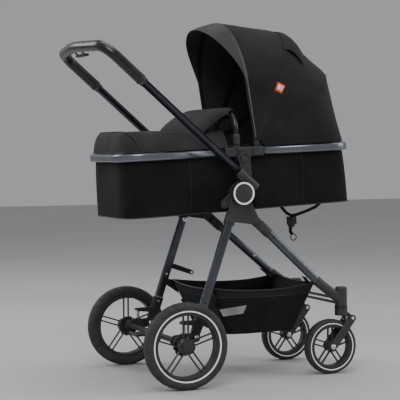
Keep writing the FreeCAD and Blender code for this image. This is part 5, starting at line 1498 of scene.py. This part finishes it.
# ---- add-on -------------------------------------------------------------------------------------
class StrollerLooks(bpy.types.PropertyGroup):
    """Colours and light that a user may change."""

    tube_colour: FloatVectorProperty(name="Tube colour", description="Anodised tubes", subtype="COLOR",
                                     size=3, min=0.0, max=1.0, default=(0.098, 0.103, 0.120))
    casting_colour: FloatVectorProperty(name="Casting colour", description="Moulded joints", subtype="COLOR",
                                        size=3, min=0.0, max=1.0, default=(0.030, 0.030, 0.034))
    cloth_colour: FloatVectorProperty(name="Cloth colour", description="Tub and basket cloth",
                                      subtype="COLOR", size=3, min=0.0, max=1.0,
                                      default=(0.0095, 0.0095, 0.010))
    visor_colour: FloatVectorProperty(name="Visor colour", description="Visor and flap cloth",
                                      subtype="COLOR", size=3, min=0.0, max=1.0,
                                      default=(0.052, 0.052, 0.054))
    floor_tone: FloatProperty(name="Floor tone", description="How pale the floor is", subtype="FACTOR",
                              min=0.0, max=1.0, default=0.5)
    sky: FloatProperty(name="Sky", description="Strength of the light from all round", min=0.0, max=3.0,
                       default=0.42)
    key_power: FloatProperty(name="Key light", description="Power of the main soft light", subtype="POWER",
                             unit="POWER", min=0.0, default=95.0)


class STROLLER_OT_stage(bpy.types.Operator):
    """Adds the floor, the soft lights and the camera"""

    bl_idname = "stroller.stage"
    bl_label = "Stage"
    bl_options = {"REGISTER", "UNDO"}

    def execute(self, context):
        make_materials()
        make_stage()
        return {"FINISHED"}


class STROLLER_OT_tubes(bpy.types.Operator):
    """Gives the legs, handle tubes, rails and bows their surfaces"""

    bl_idname = "stroller.tubes"
    bl_label = "Tubes"
    bl_options = {"REGISTER", "UNDO"}

    def execute(self, context):
        make_tubes()
        return {"FINISHED"}


class STROLLER_OT_castings(bpy.types.Operator):
    """Rounds the moulded joints of the frame"""

    bl_idname = "stroller.castings"
    bl_label = "Castings"
    bl_options = {"REGISTER", "UNDO"}

    def execute(self, context):
        make_castings()
        return {"FINISHED"}


class STROLLER_OT_screws(bpy.types.Operator):
    """Adds screws, caps and collars"""

    bl_idname = "stroller.screws"
    bl_label = "Screws"
    bl_options = {"REGISTER", "UNDO"}

    def execute(self, context):
        make_screws()
        return {"FINISHED"}


class STROLLER_OT_springs(bpy.types.Operator):
    """Adds the coil springs"""

    bl_idname = "stroller.springs"
    bl_label = "Springs"
    bl_options = {"REGISTER", "UNDO"}

    def execute(self, context):
        make_springs()
        return {"FINISHED"}


class STROLLER_OT_rear_wheels(bpy.types.Operator):
    """Adds the rear tyres, rims and rings"""

    bl_idname = "stroller.rear_wheels"
    bl_label = "Rear wheels"
    bl_options = {"REGISTER", "UNDO"}

    def execute(self, context):
        make_rear_wheels()
        return {"FINISHED"}


class STROLLER_OT_front_wheels(bpy.types.Operator):
    """Adds the front tyres, rims and rings"""

    bl_idname = "stroller.front_wheels"
    bl_label = "Front wheels"
    bl_options = {"REGISTER", "UNDO"}

    def execute(self, context):
        make_front_wheels()
        return {"FINISHED"}


class STROLLER_OT_grip(bpy.types.Operator):
    """Adds the leatherette handle grip"""

    bl_idname = "stroller.grip"
    bl_label = "Grip"
    bl_options = {"REGISTER", "UNDO"}

    def execute(self, context):
        make_grip()
        return {"FINISHED"}


class STROLLER_OT_bassinet(bpy.types.Operator):
    """Adds the tub's cloth cover and lining"""

    bl_idname = "stroller.bassinet"
    bl_label = "Bassinet"
    bl_options = {"REGISTER", "UNDO"}

    def execute(self, context):
        make_bassinet()
        return {"FINISHED"}


class STROLLER_OT_mattress(bpy.types.Operator):
    """Adds the padded mattress"""

    bl_idname = "stroller.mattress"
    bl_label = "Mattress"
    bl_options = {"REGISTER", "UNDO"}

    def execute(self, context):
        make_mattress()
        return {"FINISHED"}


class STROLLER_OT_apron(bpy.types.Operator):
    """Adds the cloth apron"""

    bl_idname = "stroller.apron"
    bl_label = "Apron"
    bl_options = {"REGISTER", "UNDO"}

    def execute(self, context):
        make_apron()
        return {"FINISHED"}


class STROLLER_OT_bumper_bar(bpy.types.Operator):
    """Adds the bumper bar and its flap"""

    bl_idname = "stroller.bumper_bar"
    bl_label = "Bumper bar"
    bl_options = {"REGISTER", "UNDO"}

    def execute(self, context):
        make_bumper()
        return {"FINISHED"}


class STROLLER_OT_canopy(bpy.types.Operator):
    """Adds the canopy, its seams, vent and label"""

    bl_idname = "stroller.canopy"
    bl_label = "Canopy"
    bl_options = {"REGISTER", "UNDO"}

    def execute(self, context):
        make_panels()
        make_visor()
        make_canopy_seams()
        make_vent()
        make_label()
        return {"FINISHED"}


class STROLLER_OT_basket(bpy.types.Operator):
    """Adds the shopping basket"""

    bl_idname = "stroller.basket"
    bl_label = "Basket"
    bl_options = {"REGISTER", "UNDO"}

    def execute(self, context):
        make_basket()
        return {"FINISHED"}


class STROLLER_OT_webbing(bpy.types.Operator):
    """Adds the webbing loop and buckle"""

    bl_idname = "stroller.webbing"
    bl_label = "Webbing"
    bl_options = {"REGISTER", "UNDO"}

    def execute(self, context):
        make_webbing()
        return {"FINISHED"}


OPERATORS = (
    STROLLER_OT_stage, STROLLER_OT_tubes, STROLLER_OT_castings, STROLLER_OT_screws, STROLLER_OT_springs,
    STROLLER_OT_rear_wheels, STROLLER_OT_front_wheels, STROLLER_OT_grip, STROLLER_OT_bassinet,
    STROLLER_OT_mattress, STROLLER_OT_apron, STROLLER_OT_bumper_bar, STROLLER_OT_canopy,
    STROLLER_OT_basket, STROLLER_OT_webbing,
)


class STROLLER_PT_panel(bpy.types.Panel):
    """Lists the stroller's pieces in the sidebar."""

    bl_label = "Baby Stroller"
    bl_idname = "STROLLER_PT_panel"
    bl_space_type = "VIEW_3D"
    bl_region_type = "UI"
    bl_category = "Stroller"

    def draw(self, context):
        looks = context.scene.stroller_looks
        for name in StrollerLooks.__annotations__:
            self.layout.prop(looks, name)
        for one in OPERATORS:
            self.layout.operator(one.bl_idname)


CLASSES = (StrollerLooks, *OPERATORS, STROLLER_PT_panel)


def register():
    for one in CLASSES:
        bpy.utils.register_class(one)
    bpy.types.Scene.stroller_looks = PointerProperty(type=StrollerLooks)


def unregister():
    del bpy.types.Scene.stroller_looks
    for one in reversed(CLASSES):
        bpy.utils.unregister_class(one)


def main():
    register()
    for one in OPERATORS:
        getattr(bpy.ops.stroller, one.bl_idname.split(".")[1])()


if __name__ == "__main__":
    main()
